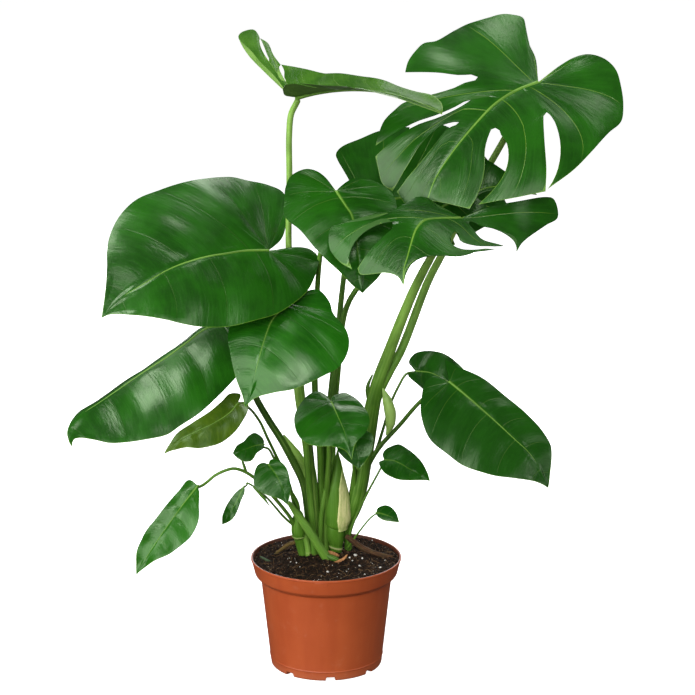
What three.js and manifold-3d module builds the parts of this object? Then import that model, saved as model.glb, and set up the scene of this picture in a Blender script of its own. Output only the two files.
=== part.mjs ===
// Potted monstera plant: a plastic nursery pot with potting mix, two leafy stems and their leaves.
// Millimetres, +Z up. The origin is the middle of the pot's underside and -Y is the front.
import * as THREE from 'three';
import { mergeVertices } from 'three/addons/utils/BufferGeometryUtils.js';
import Module from 'manifold-3d';

const wasm = await Module();
wasm.setup();

// ---------------------------------------------------------------- driving dimensions
const GAP = 0.3; // clear space between pieces that touch

const RIM_RADIUS = 76.8; // pot, a 6 inch nursery pot
const RIM_FOOT_RADIUS = 72.8;
const RIM_BAND = 18.5;
const BODY_RADIUS = 67.2;
const FOOT_RADIUS = 57;
const POT_HEIGHT = 113;
const WALL = 1.8;
const FLOOR_LIFT = 3;
const PAD_RADIUS = 22;
const WAIST_HEIGHT = 50; // where the tapered wall has its middle ring of points
const RING_HEIGHT = 9.5;
const RING_PROUD = 0.5;
const FOOT_WIDTH = 6;
const NOTCHES = 8;
const NOTCH_TURN = 5; // degrees from the front to the first notch
const NOTCH_WIDTH = 10;
const NOTCH_HEIGHT = 4;
const DRAIN_RADIUS = 4;
const DRAIN_CIRCLE = 38;
const POT_SEGMENTS = 40;

const SOIL_EDGE = 107.5; // height of the potting mix at the wall
const SOIL_CLEAR = 0.7; // from the faceted wall to the potting mix
const SOIL_MOUND = 4.5;
const SOIL_LUMP = 0.9;
const SOIL_RINGS = 6;
const SOIL_SEGMENTS = 28;

const BLADE = 0.9; // leaf thickness
const VALLEY = 6; // half width of the rounded valley along a midrib
const LARGE_CELL = 18; // mesh cell along the margin of a large leaf
const SMALL_CELL = 8;
const LARGE_ROWS = 4; // cells from the midrib to the margin
const SMALL_ROWS = 3;

const STALK_SIDES = 7;
const SLIM_SIDES = 5; // on stalks under 3 mm in radius
const STALK_STEP = 22;

const COLOURS = {
  pot: 0xbf5c33,
  soil: 0x2a1d14,
  leaf: 0x2a6b26,
  paleLeaf: 0x4c9636,
  oliveLeaf: 0x6d8a2c,
  stem: 0x5f9a3c,
  paleStem: 0x9cc06a,
  bark: 0x5c4026,
  oliveRoot: 0x6a6a2c,
  husk: 0xb08a5a,
};

// ---------------------------------------------------------------- leaves
// A blade lies over a plane through its base and tip that faces along "face". Points are
// [along, across]: millimetres from the base towards the tip, and out to the left (+) or
// right (-), as seen from the upper face with the tip ahead. Each half is a list of lobes,
// and a slot between two lobes leaves the midrib at "at" (0 to 1), opens at its root and
// runs out along "before" (end of one lobe) and "after" (start of the next).
const LEAVES = [
  {
    name: 'blade_big_left', base: [-55, -25, 434], tip: [-210, -95, 382], face: [-0.15, -0.82, 0.55],
    arch: 16, fold: [0.12, 0.1], droop: [14, 12], reach: [65, 80], colour: 'leaf', cell: LARGE_CELL,
    rib: [[21, -5], [44, -8], [62, -11], [97, -13], [129, -10], [158, -7]],
    left: [[
      [-29, 4], [-42, 12], [-45, 22], [-40, 30], [-21, 49], [-2, 59], [26, 66], [57, 65],
      [81, 60], [105, 50], [129, 32], [150, 16], [170, 2],
    ]],
    right: [[
      [-23, -12], [-50, -60], [-40, -76], [-23, -89], [-8, -99], [40, -103], [68, -103],
      [93, -101], [118, -89], [135, -73], [145, -58], [151, -45], [159, -30], [168, -15],
    ]],
  },
  {
    name: 'blade_upper_heart', base: [11, -40, 494], tip: [36, -78, 402], face: [0.12, -0.82, 0.55],
    arch: 10, fold: [0.15, 0.15], droop: [8, 8], reach: [50, 50], colour: 'leaf', cell: LARGE_CELL,
    rib: [[17, 4], [28, 7], [53, 5], [77, 2]],
    left: [[
      [-3, 4], [-9, 18], [-6, 33], [3, 45], [14, 52], [25, 53], [47, 46], [74, 33], [90, 20],
    ]],
    right: [[
      [-17, -6], [-25, -13], [-29, -23], [-25, -38], [-15, -46], [-1, -51], [14, -55],
      [32, -45], [60, -32], [81, -17], [94, -8],
    ]],
  },
  {
    name: 'blade_middle', base: [-42, -45, 386], tip: [-76, -92, 294], face: [-0.1, -0.85, 0.5],
    arch: 14, fold: [0.1, 0.1], droop: [10, 10], reach: [55, 55], colour: 'paleLeaf', cell: LARGE_CELL,
    rib: [[5, 3], [21, -1], [36, -1], [72, 1], [97, 2]],
    left: [[
      [-16, 13], [-25, 28], [-16, 43], [-6, 50], [6, 67], [16, 74], [31, 77], [46, 74],
      [58, 65], [80, 42], [90, 22], [98, 8],
    ]],
    right: [[
      [-10, -6], [-12, -16], [-2, -26], [14, -33], [33, -38], [50, -36], [67, -27], [87, -15], [100, -5],
    ]],
  },
  {
    name: 'blade_low_left', base: [-90, 25, 352], tip: [-252, -34, 239], face: [-0.35, -0.65, 0.7],
    arch: 14, fold: [0.12, -1.15], droop: [10, 0], reach: [60, 60], colour: 'leaf', cell: LARGE_CELL,
    rib: [
      [28, -12], [50, -9], [80, -7], [96, -8], [132, -11], [163, -16], [181, -20], [197, -17], [204, -10],
    ],
    left: [[
      [-12, 8], [-6, 26], [12, 44], [32, 57], [53, 65], [72, 69], [90, 71], [113, 68], [128, 66],
      [148, 55], [162, 44], [175, 32], [185, 16], [194, 2], [200, -3],
    ]],
    right: [[
      [-14, -6], [-16, -20], [-4, -40], [20, -56], [50, -64], [85, -66], [118, -62], [146, -52],
      [172, -40], [190, -28], [201, -18],
    ]],
  },
  {
    name: 'blade_curled', base: [-86, -38, 285], tip: [-156, -75, 243], face: [-0.4, -0.75, 0.5],
    arch: 8, fold: [0.3, 0.3], droop: [4, 4], reach: [30, 20], colour: 'oliveLeaf', cell: SMALL_CELL,
    rib: [[13, 7], [33, 9], [54, 5], [70, 1]],
    left: [[[-7, 6], [-1, 16], [11, 25], [29, 33], [47, 34], [62, 25], [72, 13], [82, 4]]],
    right: [[[-8, -7], [0, -13], [13, -9], [24, -6], [38, -4], [51, -5], [70, -6], [82, -3]]],
  },
  {
    name: 'blade_small_blunt', base: [-61, -35, 241], tip: [-91, -49, 236], face: [-0.3, -0.8, 0.5],
    arch: 3, fold: [0.15, 0.15], droop: [2, 2], reach: [12, 12], colour: 'leaf', cell: SMALL_CELL,
    rib: [[11, 0], [22, 1]],
    left: [[[2, 4], [11, 8], [19, 14], [26, 13], [31, 7]]],
    right: [[[-2, -4], [-1, -10], [4, -15], [11, -13], [19, -8], [27, -6]]],
  },
  {
    name: 'blade_small_heart', base: [-56, -45, 223], tip: [-37, -62, 187], face: [0.1, -0.85, 0.5],
    arch: 3, fold: [0.15, 0.15], droop: [2, 2], reach: [18, 18], colour: 'leaf', cell: SMALL_CELL,
    rib: [[13, 2], [29, 2]],
    left: [[[-4, 4], [-2, 9], [8, 14], [20, 13], [35, 7]]],
    right: [[[-4, -3], [-4, -10], [4, -18], [15, -22], [27, -15], [37, -4]]],
  },
  {
    name: 'blade_hanging_left', base: [-127, -40, 200], tip: [-188, -60, 114], face: [-0.5, -0.75, 0.4],
    arch: 5, fold: [0.15, 0.8], droop: [4, 0], reach: [30, 12], colour: 'paleLeaf', cell: SMALL_CELL,
    rib: [[36, 1], [66, 1]],
    left: [[[4, 7], [14, 17], [26, 27], [45, 30], [66, 24], [84, 12], [98, 4]]],
    right: [[[0, -9], [16, -10], [37, -11], [62, -12], [86, -10], [99, -5]]],
  },
  {
    name: 'blade_hanging_drop', base: [-82, -30, 196], tip: [-104, -30, 156], face: [-0.3, -0.85, 0.4],
    arch: 2, fold: [0.2, 0.3], droop: [1, 1], reach: [10, 8], colour: 'leaf', cell: SMALL_CELL,
    rib: [[14, 2], [31, 2]],
    left: [[[3, 4], [13, 6], [24, 8], [35, 7]]],
    right: [[[7, -3], [23, -5], [37, -4]]],
  },
  {
    name: 'blade_centre', base: [6, -52, 289], tip: [26, -100, 244], face: [0.05, -0.8, 0.6],
    arch: 8, fold: [0.12, 0.12], droop: [8, 8], reach: [38, 38], colour: 'leaf', cell: SMALL_CELL,
    rib: [[21, 0], [42, 1]],
    left: [[[-7, 3], [-9, 10], [-8, 17], [8, 25], [27, 29], [38, 27], [47, 20], [55, 8]]],
    right: [[
      [-11, -2], [-19, -8], [-18, -18], [-10, -28], [1, -37], [12, -41], [27, -42], [41, -36],
      [48, -26], [52, -14], [59, -4],
    ]],
  },
  {
    name: 'blade_centre_back', base: [24, -32, 262], tip: [33, -55, 221], face: [0.1, -0.85, 0.5],
    arch: 4, fold: [0.3, 0.3], droop: [2, 2], reach: [18, 18], colour: 'leaf', cell: SMALL_CELL,
    rib: [[24, 1], [35, 1]],
    left: [[[-2, 6], [10, 13], [17, 19], [31, 16], [42, 7]]],
    right: [[[-3, -6], [7, -12], [18, -17], [26, -18], [35, -13], [42, -6]]],
  },
  {
    name: 'blade_right', base: [123, -20, 301], tip: [219, -60, 204], face: [0.25, -0.8, 0.55],
    arch: 12, fold: [0.12, 0.12], droop: [8, 8], reach: [45, 50], colour: 'leaf', cell: LARGE_CELL,
    rib: [[28, 0], [55, 1], [82, 3], [110, 6]],
    left: [[
      [-6, 8], [-14, 12], [-20, 15], [-3, 20], [19, 27], [38, 29], [62, 31], [83, 33],
      [102, 32], [113, 30], [120, 25], [133, 11],
    ]],
    right: [[
      [-12, -3], [-16, -9], [-15, -20], [-7, -33], [3, -45], [20, -56], [34, -60], [50, -59],
      [71, -55], [88, -46], [100, -37], [115, -22], [129, -8],
    ]],
  },
  {
    name: 'blade_right_back', base: [92, 30, 300], tip: [158, 62, 262], face: [0.1, -0.75, 0.6],
    arch: 6, fold: [0.1, 0.1], droop: [4, 4], reach: [30, 30], colour: 'leaf', cell: SMALL_CELL,
    rib: [[15, 3], [41, 0]],
    left: [[[-9, 7], [-5, 18], [8, 26], [28, 30], [50, 26], [66, 14]]],
    right: [[[-8, -6], [2, -14], [18, -20], [40, -20], [62, -10]]],
  },
  {
    name: 'blade_small_right', base: [59, -10, 218], tip: [104, -30, 202], face: [0.15, -0.8, 0.6],
    arch: 5, fold: [0.12, 0.12], droop: [3, 3], reach: [18, 18], colour: 'leaf', cell: SMALL_CELL,
    rib: [[11, 2], [31, 0]],
    left: [[[-5, 5], [-5, 13], [3, 22], [16, 20], [34, 14], [46, 6]]],
    right: [[[-4, -4], [0, -9], [9, -14], [24, -15], [36, -10], [46, -3]]],
  },
  {
    name: 'blade_tiny_right', base: [51, -15, 164], tip: [74, -22, 156], face: [0.1, -0.8, 0.6],
    arch: 2, fold: [0.1, 0.1], droop: [1, 1], reach: [8, 6], colour: 'paleLeaf', cell: SMALL_CELL,
    rib: [[10, 1], [18, 1]],
    left: [[[-1, 5], [5, 11], [12, 11], [19, 7]]],
    right: [[[2, -3], [9, -5], [18, -3]]],
  },
  {
    name: 'blade_split_right', base: [209, 30, 592], tip: [99, -28, 484], face: [-0.2, -0.9, 0.4],
    arch: 14, fold: [0.1, 0.1], droop: [16, 16], reach: [110, 110], colour: 'leaf', cell: LARGE_CELL,
    rib: [[22, -8], [49, -13], [75, -13], [114, -11], [145, -7]],
    left: [
      [
        [-29, 2], [-49, 7], [-60, 15], [-66, 30], [-64, 46], [-52, 63], [-38, 77], [-22, 87],
        [-4, 87], [27, 89], [55, 89],
      ],
      [[109, 69], [127, 54]],
      [[152, 29]],
    ],
    leftSlots: [
      { at: 0.1, root: [23, 30], before: [[30, 49], [43, 64], [60, 76], [75, 82], [86, 84]],
        after: [[29, 31], [49, 49], [71, 70], [89, 84]] },
      { at: 0.42, root: [70, 5], before: [[72, 13], [75, 23], [86, 35], [102, 43], [121, 45], [140, 43]],
        after: [[77, 4], [92, 11], [114, 28], [135, 37], [148, 39]] },
    ],
    right: [
      [
        [-20, -20], [-30, -38], [-39, -48], [-49, -61], [-46, -70], [-39, -80], [-28, -87],
        [-7, -98], [8, -101], [32, -105], [42, -112], [54, -112], [69, -109],
      ],
      [[105, -81], [117, -84], [132, -85], [146, -80]],
      [[168, -62], [178, -47]],
      [[179, -14]],
    ],
    rightSlots: [
      { at: 0.07, root: [38, -45], before: [[49, -60], [60, -77], [80, -103]],
        after: [[52, -50], [70, -56], [88, -66]] },
      { at: 0.24, root: [53, -32], before: [[77, -39], [97, -49], [113, -59], [133, -68], [155, -76]],
        after: [[77, -35], [98, -43], [115, -54], [136, -62], [163, -69]] },
      { at: 0.5, root: [88, -26], before: [[103, -37], [128, -40], [150, -37], [178, -34]],
        after: [[100, -25], [125, -23], [147, -26], [176, -29]] },
    ],
  },
  {
    name: 'blade_split_front', base: [130, -50, 470], tip: [74, -112, 416], face: [0.05, -0.8, 0.6],
    arch: 12, fold: [0, 0], droop: [6, 6], reach: [90, 90], colour: 'leaf', cell: LARGE_CELL,
    rib: [[6, -4], [19, -14], [33, -23], [47, -23], [63, -18], [76, -13], [89, -8]],
    left: [
      [[-35, 12], [-64, 31], [-88, 49], [-91, 55], [-75, 70], [-58, 66], [-23, 60]],
      [[-1, 49]],
      [[21, 37], [35, 32], [45, 26], [52, 18], [57, 6], [64, -2], [75, -6], [88, -7]],
    ],
    leftSlots: [
      { at: 0.03, root: [-3, 9], before: [[-6, 18], [-16, 34], [-21, 52], [-5, 62]],
        after: [[5, 17], [10, 30], [0, 47]] },
      { at: 0.3, root: [22, 6], before: [[29, 16], [23, 30], [8, 44]],
        after: [[42, 14], [40, 24], [30, 34], [12, 46]] },
    ],
    right: [
      [
        [3, -10], [6, -22], [1, -36], [9, -45], [22, -47], [57, -58], [85, -87], [90, -90],
        [104, -80], [110, -63],
      ],
      [[110, -41], [99, -22], [96, -10]],
    ],
    rightSlots: [
      { at: 0.45, root: [54, -46], before: [[73, -64], [85, -69], [97, -63], [106, -56], [110, -50]],
        after: [[76, -44], [95, -46], [107, -46]] },
    ],
  },
  {
    name: 'blade_split_back', base: [37, 76, 462], tip: [192, 100, 452], face: [0.05, -0.9, 0.45],
    arch: 10, fold: [0.1, 0.1], droop: [6, 6], reach: [60, 60], colour: 'leaf', cell: LARGE_CELL,
    rib: [[37, 8], [88, 8]],
    left: [
      [[-8, 12], [-14, 30], [-24, 49], [-26, 57], [-20, 65], [0, 74], [18, 82], [36, 86]],
      [[72, 91], [90, 88]],
      [[112, 74], [128, 58]],
      [[146, 18]],
    ],
    leftSlots: [
      { at: 0.2, root: [38, 40], before: [[42, 60], [50, 86]], after: [[46, 58], [56, 88]] },
      { at: 0.42, root: [70, 36], before: [[84, 56], [100, 80]], after: [[88, 52], [106, 76]] },
      { at: 0.65, root: [98, 26], before: [[118, 40], [134, 50]], after: [[122, 34], [138, 40]] },
    ],
    right: [
      [[-8, -8], [-10, -20], [0, -32], [14, -42], [36, -50]],
      [[66, -50], [84, -44]],
      [[112, -28], [134, -14]],
    ],
    rightSlots: [
      { at: 0.3, root: [46, -18], before: [[48, -36], [50, -52]], after: [[52, -34], [56, -52]] },
      { at: 0.55, root: [78, -14], before: [[88, -28], [94, -40]], after: [[92, -24], [100, -36]] },
    ],
  },
  {
    name: 'blade_back_right', base: [86, 42, 441], tip: [213, 52, 477], face: [0, -0.96, 0.28],
    arch: 10, fold: [0.1, 0.1], droop: [6, 6], reach: [40, 40], colour: 'leaf', cell: LARGE_CELL,
    rib: [[34, 14], [61, 18], [89, 20], [107, 14]],
    left: [[
      [-8, 8], [6, 19], [18, 38], [40, 51], [62, 56], [82, 56], [95, 46], [107, 32], [119, 18], [127, 8],
    ]],
    right: [
      [[-7, -7], [2, -12], [17, -14], [35, -10], [56, -4], [70, -3]],
      [[109, 13], [118, 8], [125, 3]],
    ],
    rightSlots: [
      { at: 0.52, root: [73, 14], before: [[76, 9], [78, 4], [80, 0]],
        after: [[84, 20], [93, 22], [100, 19]] },
    ],
  },
  {
    name: 'blade_split_top', base: [-28, 8, 580], tip: [109, -95, 574], face: [0, -0.02, 1],
    arch: 13, fold: [0.4, 0.2], droop: [0, 0], reach: [60, 60], curl: [0.2, 0], colour: 'leaf',
    cell: LARGE_CELL,
    rib: [[42, 3], [85, 5], [125, 4]],
    left: [
      [[-20, 11], [-54, 34], [-90, 53], [-114, 67], [-143, 82], [-146, 92], [-139, 101], [-125, 94]],
      [[-107, 87], [-90, 73]],
      [[-32, 57], [12, 46], [43, 38], [67, 33], [83, 29], [108, 22], [129, 19], [147, 20], [161, 14]],
    ],
    leftSlots: [
      { at: 0.02, root: [-80, 56], before: [[-94, 65], [-107, 75], [-120, 88]],
        after: [[-94, 69], [-108, 81], [-120, 92]] },
      { at: 0.04, root: [-37, 30], before: [[-47, 34], [-57, 41], [-67, 55]],
        after: [[-43, 35], [-54, 47], [-63, 57]] },
    ],
    right: [
      [[-3, -8], [0, -18], [10, -33], [22, -48], [36, -60]],
      [[62, -60], [84, -52]],
      [[112, -40], [136, -28], [156, -14]],
    ],
    rightSlots: [
      { at: 0.28, root: [44, -24], before: [[44, -42], [46, -62]], after: [[48, -42], [52, -62]] },
      { at: 0.52, root: [84, -20], before: [[92, -34], [98, -47]], after: [[95, -32], [103, -44]] },
    ],
  },
];

// ---------------------------------------------------------------- stems
// Each stalk runs through its points from its blade, or its tip, down to the cane or the soil.
// "radii" are spread evenly over its length. A stalk with a blade starts under that blade.
const MAIN_STEM = [
  { blade: 'blade_split_top', radii: [3, 3, 3.6, 4.6, 5], points: [
    [-33, 6, 563], [-35, 4, 544], [-35, 0, 500], [-36, -4, 435], [-32, 0, 349], [-28, 4, 286],
    [-19, 8, 224], [-15, 10, 175], [-13, 12, 140], [-12, 13, 94]] },
  { blade: 'blade_big_left', radii: [2.6, 3, 4, 4.6], points: [
    [-46, -4, 406], [-35, 12, 369], [-29, 16, 327], [-24, 17, 274], [-17, 18, 222], [-13, 19, 167],
    [-10, 20, 134], [-9, 21, 94]] },
  { blade: 'blade_middle', radii: [2.4, 3, 3.6, 4], points: [
    [-35, -22, 372], [-28, -12, 336], [-24, -6, 288], [-20, 0, 235], [-17, 4, 182], [-14, 6, 139],
    [-12, 8, 94]] },
  { blade: 'blade_low_left', radii: [2.8, 3.4, 4.2, 4.6], points: [
    [-84, 20, 325], [-79, 14, 305], [-72, 10, 281], [-59, 10, 256], [-45, 10, 233], [-32, 10, 208],
    [-23, 12, 187], [-18, 14, 152], [-14, 14, 94]] },
  { radii: [0.8, 4.4, 5, 3], points: [[-43, 12, 238], [-34, 12, 224], [-24, 13, 206], [-16, 14, 176]] },
  { blade: 'blade_upper_heart', radii: [2.2, 2.8, 3.6, 4.2], points: [
    [2, -22, 469], [-5, -12, 426], [-8, -5, 390], [-11, 6, 291], [-6, 12, 223], [-5, 16, 186],
    [-4, 18, 135], [-3, 18, 94]] },
  { blade: 'blade_split_back', radii: [2.4, 3, 4, 4.4], points: [
    [30, 88, 442], [22, 78, 415], [16, 56, 375], [12, 40, 335], [7, 28, 281], [3, 26, 219],
    [0, 26, 164], [0, 26, 94]] },
  { blade: 'blade_back_right', radii: [2.4, 3, 3.6, 4], points: [
    [66, 50, 426], [34, 42, 387], [20, 38, 362], [11, 33, 290], [7, 30, 238], [5, 29, 163], [5, 28, 94]] },
  { blade: 'blade_centre', radii: [1.8, 2.4, 3, 3.4], points: [
    [5, -34, 272], [4, -20, 250], [3, -6, 217], [0, 8, 170], [-1, 14, 131], [0, 14, 100]] },
  { blade: 'blade_centre_back', radii: [1.4, 1.8, 2.2], points: [
    [26, -18, 232], [23, -8, 205], [18, 4, 172], [12, 12, 137]] },
  { blade: 'blade_split_front', radii: [3.4, 4.6, 6.2, 8, 8.4], points: [
    [113, -42, 448], [103, -36, 430], [87, -20, 394], [64, 0, 329], [51, 8, 288], [39, 14, 220],
    [30, 18, 166], [20, 20, 134], [16, 20, 94]] },
  { blade: 'blade_split_right', radii: [3, 3.6, 4.2, 4.6], points: [
    [195, 50, 565], [181, 66, 534], [169, 71, 511], [144, 68, 468], [120, 52, 421], [103, 34, 392],
    [76, 14, 326], [64, 10, 304], [54, 9, 283], [45, 11, 250]] },
  { blade: 'blade_right', radii: [1.8, 2.2, 2.8], points: [
    [110, -10, 290], [95, -4, 277], [75, 4, 251], [54, 10, 225], [43, 13, 205], [35, 16, 178]] },
  { blade: 'blade_right_back', radii: [1.2, 1.4, 2], points: [
    [81, 28, 297], [75, 25, 288], [66, 22, 269], [58, 19, 242], [51, 17, 220], [39, 17, 194]] },
  { blade: 'blade_small_right', radii: [1, 1.2, 1.8], points: [
    [52, -2, 200], [40, 6, 174], [26, 14, 139], [22, 16, 119]] },
  { blade: 'blade_tiny_right', radii: [0.8, 0.9, 1.2], points: [[45, -8, 156], [35, 2, 140], [22, 16, 116]] },
  { radii: [0.9, 4.4, 8.6, 12, 13, 12.2, 11, 9], points: [
    [11, 8, 224], [10, 11, 200], [9, 14, 176], [9, 17, 150], [9, 18, 140], [9, 18, 134], [10, 18, 120],
    [11, 18, 94]] },
  { radii: [1, 2.4, 2.6, 2], points: [[9, 4, 222], [1, 5, 188], [-4, 6, 160], [-6, 8, 134], [-5, 12, 100]] },
  { radii: [3, 4, 4.2], points: [[20, 24, 134], [22, 26, 122], [23, 26, 94]] },
  { radii: [0.8, 2.2, 2.4], points: [[47, 8, 302], [42, 9, 288], [45, 9, 268]] },
];

const LEFT_STEM = [
  { blade: 'blade_curled', radii: [1.2, 1.6, 2], points: [
    [-77, -30, 278], [-66, -22, 262], [-58, -16, 242], [-49, -10, 220], [-38, -4, 193], [-29, 1, 150]] },
  { blade: 'blade_small_blunt', radii: [1, 1.2, 1.4], points: [
    [-57, -26, 234], [-52, -14, 221], [-47, -9, 212]] },
  { blade: 'blade_small_heart', radii: [1.2, 1.6, 2], points: [
    [-49, -34, 210], [-38, -20, 192], [-29, -8, 172], [-27, 0, 150]] },
  { blade: 'blade_hanging_left', radii: [1.4, 1.6, 1.8, 2], points: [
    [-117, -40, 204], [-109, -41, 211], [-98, -40, 216], [-90, -38, 217], [-79, -34, 212],
    [-67, -28, 201], [-54, -20, 184], [-40, -8, 162], [-31, 1, 145]] },
  { blade: 'blade_hanging_drop', radii: [0.9, 1.1, 1.4], points: [
    [-79, -27, 199], [-72, -26, 195], [-58, -20, 180], [-43, -9, 158], [-30, 2, 142]] },
  { radii: [3, 6.4, 7, 6.2, 5, 4.6], points: [
    [-28, 0, 162], [-28, 2, 152], [-28, 4, 138], [-28, 5, 132], [-28, 6, 122], [-28, 7, 94]] },
  { radii: [3, 2.8, 2.6], points: [[-25, 6, 138], [-23, 8, 127], [-22, 8, 94]] },
  { radii: [4.6, 5.4, 5.6], points: [[-28, -7, 159], [-13, -9, 136], [1, -6, 112], [10, -4, 98]] },
  { radii: [0.3, 1.4, 1.6], points: [[-84, -35, 228], [-81, -34, 219], [-79, -34, 212]] },
  { radii: [1.6, 1.8, 0.3], points: [[-72, -26, 195], [-64, -27, 186], [-56, -28, 175]] },
];

const ROOTS = [
  { name: 'root_right', colour: 'bark', radii: [2.6, 3, 2.6, 2.2], points: [
    [20, 8, 132], [27, 9, 126], [36, 10, 119], [47, 7, 114.5], [58, 4, 112], [68, 2, 110.5]] },
  { name: 'root_left', colour: 'oliveRoot', radii: [2, 2, 1.2], points: [
    [-36, 8, 124], [-45, 11, 117], [-53, 13, 110]] },
  { name: 'root_green', colour: 'oliveRoot', radii: [1.2, 1.6, 1], points: [
    [-68, 8, 109], [-63, -2, 110], [-56, -8, 109]] },
];

const YOUNG_LEAF = { radii: [0.6, 4.4, 5.4, 4.6, 1], points: [
  [57, -1, 290], [62, -3, 276], [65, -4, 262], [64, -4, 250], [61, -4, 242]] };

const HUSKS = [
  { name: 'husk_beige', from: [-2, 4, 114.8], to: [12, 3, 112.2], width: 5, rise: 1.6 },
  { name: 'husk_orange', from: [6, -17, 112.6], to: [24, -10, 114.6], width: 7, rise: 2.4 },
];

// ---------------------------------------------------------------- solids and meshes
function solidOf(geometry) {
  const bare = geometry.clone();
  bare.deleteAttribute('normal');
  bare.deleteAttribute('uv');
  const welded = mergeVertices(bare, 1e-3);
  const vertProperties = new Float32Array(welded.attributes.position.array);
  const triVerts = new Uint32Array(welded.index.array);
  return new wasm.Manifold(new wasm.Mesh({ numProp: 3, vertProperties, triVerts }));
}

function geometryOf(solid) {
  const mesh = solid.getMesh();
  const geometry = new THREE.BufferGeometry();
  geometry.setAttribute('position', new THREE.BufferAttribute(new Float32Array(mesh.vertProperties), 3));
  geometry.setIndex(new THREE.BufferAttribute(new Uint32Array(mesh.triVerts), 1));
  geometry.computeVertexNormals();
  return geometry;
}

function joined(solids) {
  return solids.reduce((whole, solid) => whole.add(solid));
}

function part(name, geometry, colour, roughness = 0.5) {
  const material = new THREE.MeshStandardMaterial({ color: COLOURS[colour], roughness, metalness: 0 });
  const mesh = new THREE.Mesh(geometry, material);
  mesh.name = name;
  return mesh;
}

function splineThrough(points) {
  const vectors = points.map((p) => new THREE.Vector3(p[0], p[1], p[2] ?? 0));
  return new THREE.CatmullRomCurve3(vectors, false, 'centripetal');
}

// ---------------------------------------------------------------- blades
function bladeFrame(leaf) {
  const base = new THREE.Vector3(...leaf.base);
  const along = new THREE.Vector3(...leaf.tip).sub(base);
  const length = along.length();
  along.normalize();
  const face = new THREE.Vector3(...leaf.face);
  face.addScaledVector(along, -face.dot(along)).normalize();
  const across = new THREE.Vector3().crossVectors(face, along);
  const rib = [[0, 0], ...leaf.rib, [length, 0]];
  return { base, along, across, face, length, rib };
}

function ribOffset(frame, a) {
  if (a <= 0 || a >= frame.length) return 0;
  const i = frame.rib.findIndex((p) => p[0] > a);
  const [a0, w0] = frame.rib[i - 1];
  const [a1, w1] = frame.rib[i];
  return w0 + ((w1 - w0) * (a - a0)) / (a1 - a0);
}

// Height of the blade over its plane: arched along, folded and drooping across, and curled up
// behind the base.
function bladeHeight(leaf, frame, a, w) {
  const t = a / frame.length;
  const arch = t >= 0 ? 4 * leaf.arch * t * (1 - t) : (4 * leaf.arch * t) / (1 - 2 * t);
  const across = w - ribOffset(frame, a);
  const side = across >= 0 ? 0 : 1;
  const out = Math.abs(across);
  const fold = leaf.fold[side] * (Math.hypot(out, VALLEY) - VALLEY);
  const droop = leaf.droop[side] * (out / leaf.reach[side]) ** 2;
  const curl = (leaf.curl?.[side] ?? 0) * (Math.hypot(Math.max(0, -a), VALLEY) - VALLEY);
  return arch + fold - droop + curl;
}

function bladePoint(leaf, frame, a, w) {
  const point = frame.base.clone();
  point.addScaledVector(frame.along, a);
  point.addScaledVector(frame.across, w);
  return point.addScaledVector(frame.face, bladeHeight(leaf, frame, a, w));
}

// One half of a blade as strips of [along, across] points from the midrib out to the margin.
function halfStrips(lobes, slots, ribPoints, cell, rows) {
  const cells = ribPoints.length - 1;
  const tip = ribPoints[cells];
  const strips = [];
  const edgeOf = (slot, side) => {
    const origin = ribPoints[Math.round(slot.at * cells)];
    const root = new THREE.Vector3(slot.root[0], slot.root[1], 0);
    const outer = splineThrough([slot.root, ...slot[side]]);
    const inner = origin.distanceTo(root);
    const out = root.distanceTo(splineThrough([slot.before.at(-1), slot.after.at(-1)]).getPointAt(0.5));
    const split = Math.min(rows - 2, Math.max(1, Math.round((rows * inner) / (inner + out))));
    const edge = [];
    for (let i = 0; i <= rows; i += 1) {
      if (i <= split) edge.push(origin.clone().lerp(root, i / split));
      else edge.push(outer.getPointAt((i - split) / (rows - split)));
    }
    return edge;
  };
  lobes.forEach((margin, k) => {
    const first = k === 0 ? 0 : Math.round(slots[k - 1].at * cells);
    const last = k === slots.length ? cells : Math.round(slots[k].at * cells);
    const lead = k === 0 ? Array(rows + 1).fill(ribPoints[0]) : edgeOf(slots[k - 1], 'after');
    const trail = k === slots.length ? Array(rows + 1).fill(tip) : edgeOf(slots[k], 'before');
    const marginPoints = [lead[rows], ...margin.map((p) => new THREE.Vector3(p[0], p[1], 0)), trail[rows]];
    const curve = new THREE.CatmullRomCurve3(marginPoints, false, 'centripetal');
    const wanted = Math.max(2, Math.round(curve.getLength() / cell));
    const span = last - first;
    const perCell = span === 0 ? 1 : Math.max(1, Math.round((wanted * (k === 0 ? 0.6 : 1)) / span));
    const fan = k === 0 || span === 0 ? Math.max(2, wanted - perCell * span) : 0;
    const columns = fan + perCell * span;
    const strip = [];
    for (let j = 0; j <= columns; j += 1) {
      const v = j / columns;
      const step = Math.max(0, j - fan);
      const middle = ribPoints[Math.min(last, first + Math.floor((step + perCell / 2) / perCell))];
      const outside = curve.getPointAt(v);
      const column = [];
      for (let i = 0; i <= rows; i += 1) {
        const u = i / rows;
        const point = lead[i].clone().multiplyScalar(1 - v).addScaledVector(trail[i], v);
        point.addScaledVector(middle, 1 - u);
        point.addScaledVector(lead[0], -(1 - u) * (1 - v)).addScaledVector(trail[0], -(1 - u) * v);
        point.addScaledVector(outside, u);
        point.addScaledVector(lead[rows], -u * (1 - v)).addScaledVector(trail[rows], -u * v);
        column.push(point);
      }
      strip.push(column);
    }
    strips.push(strip);
  });
  return strips;
}

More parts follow.
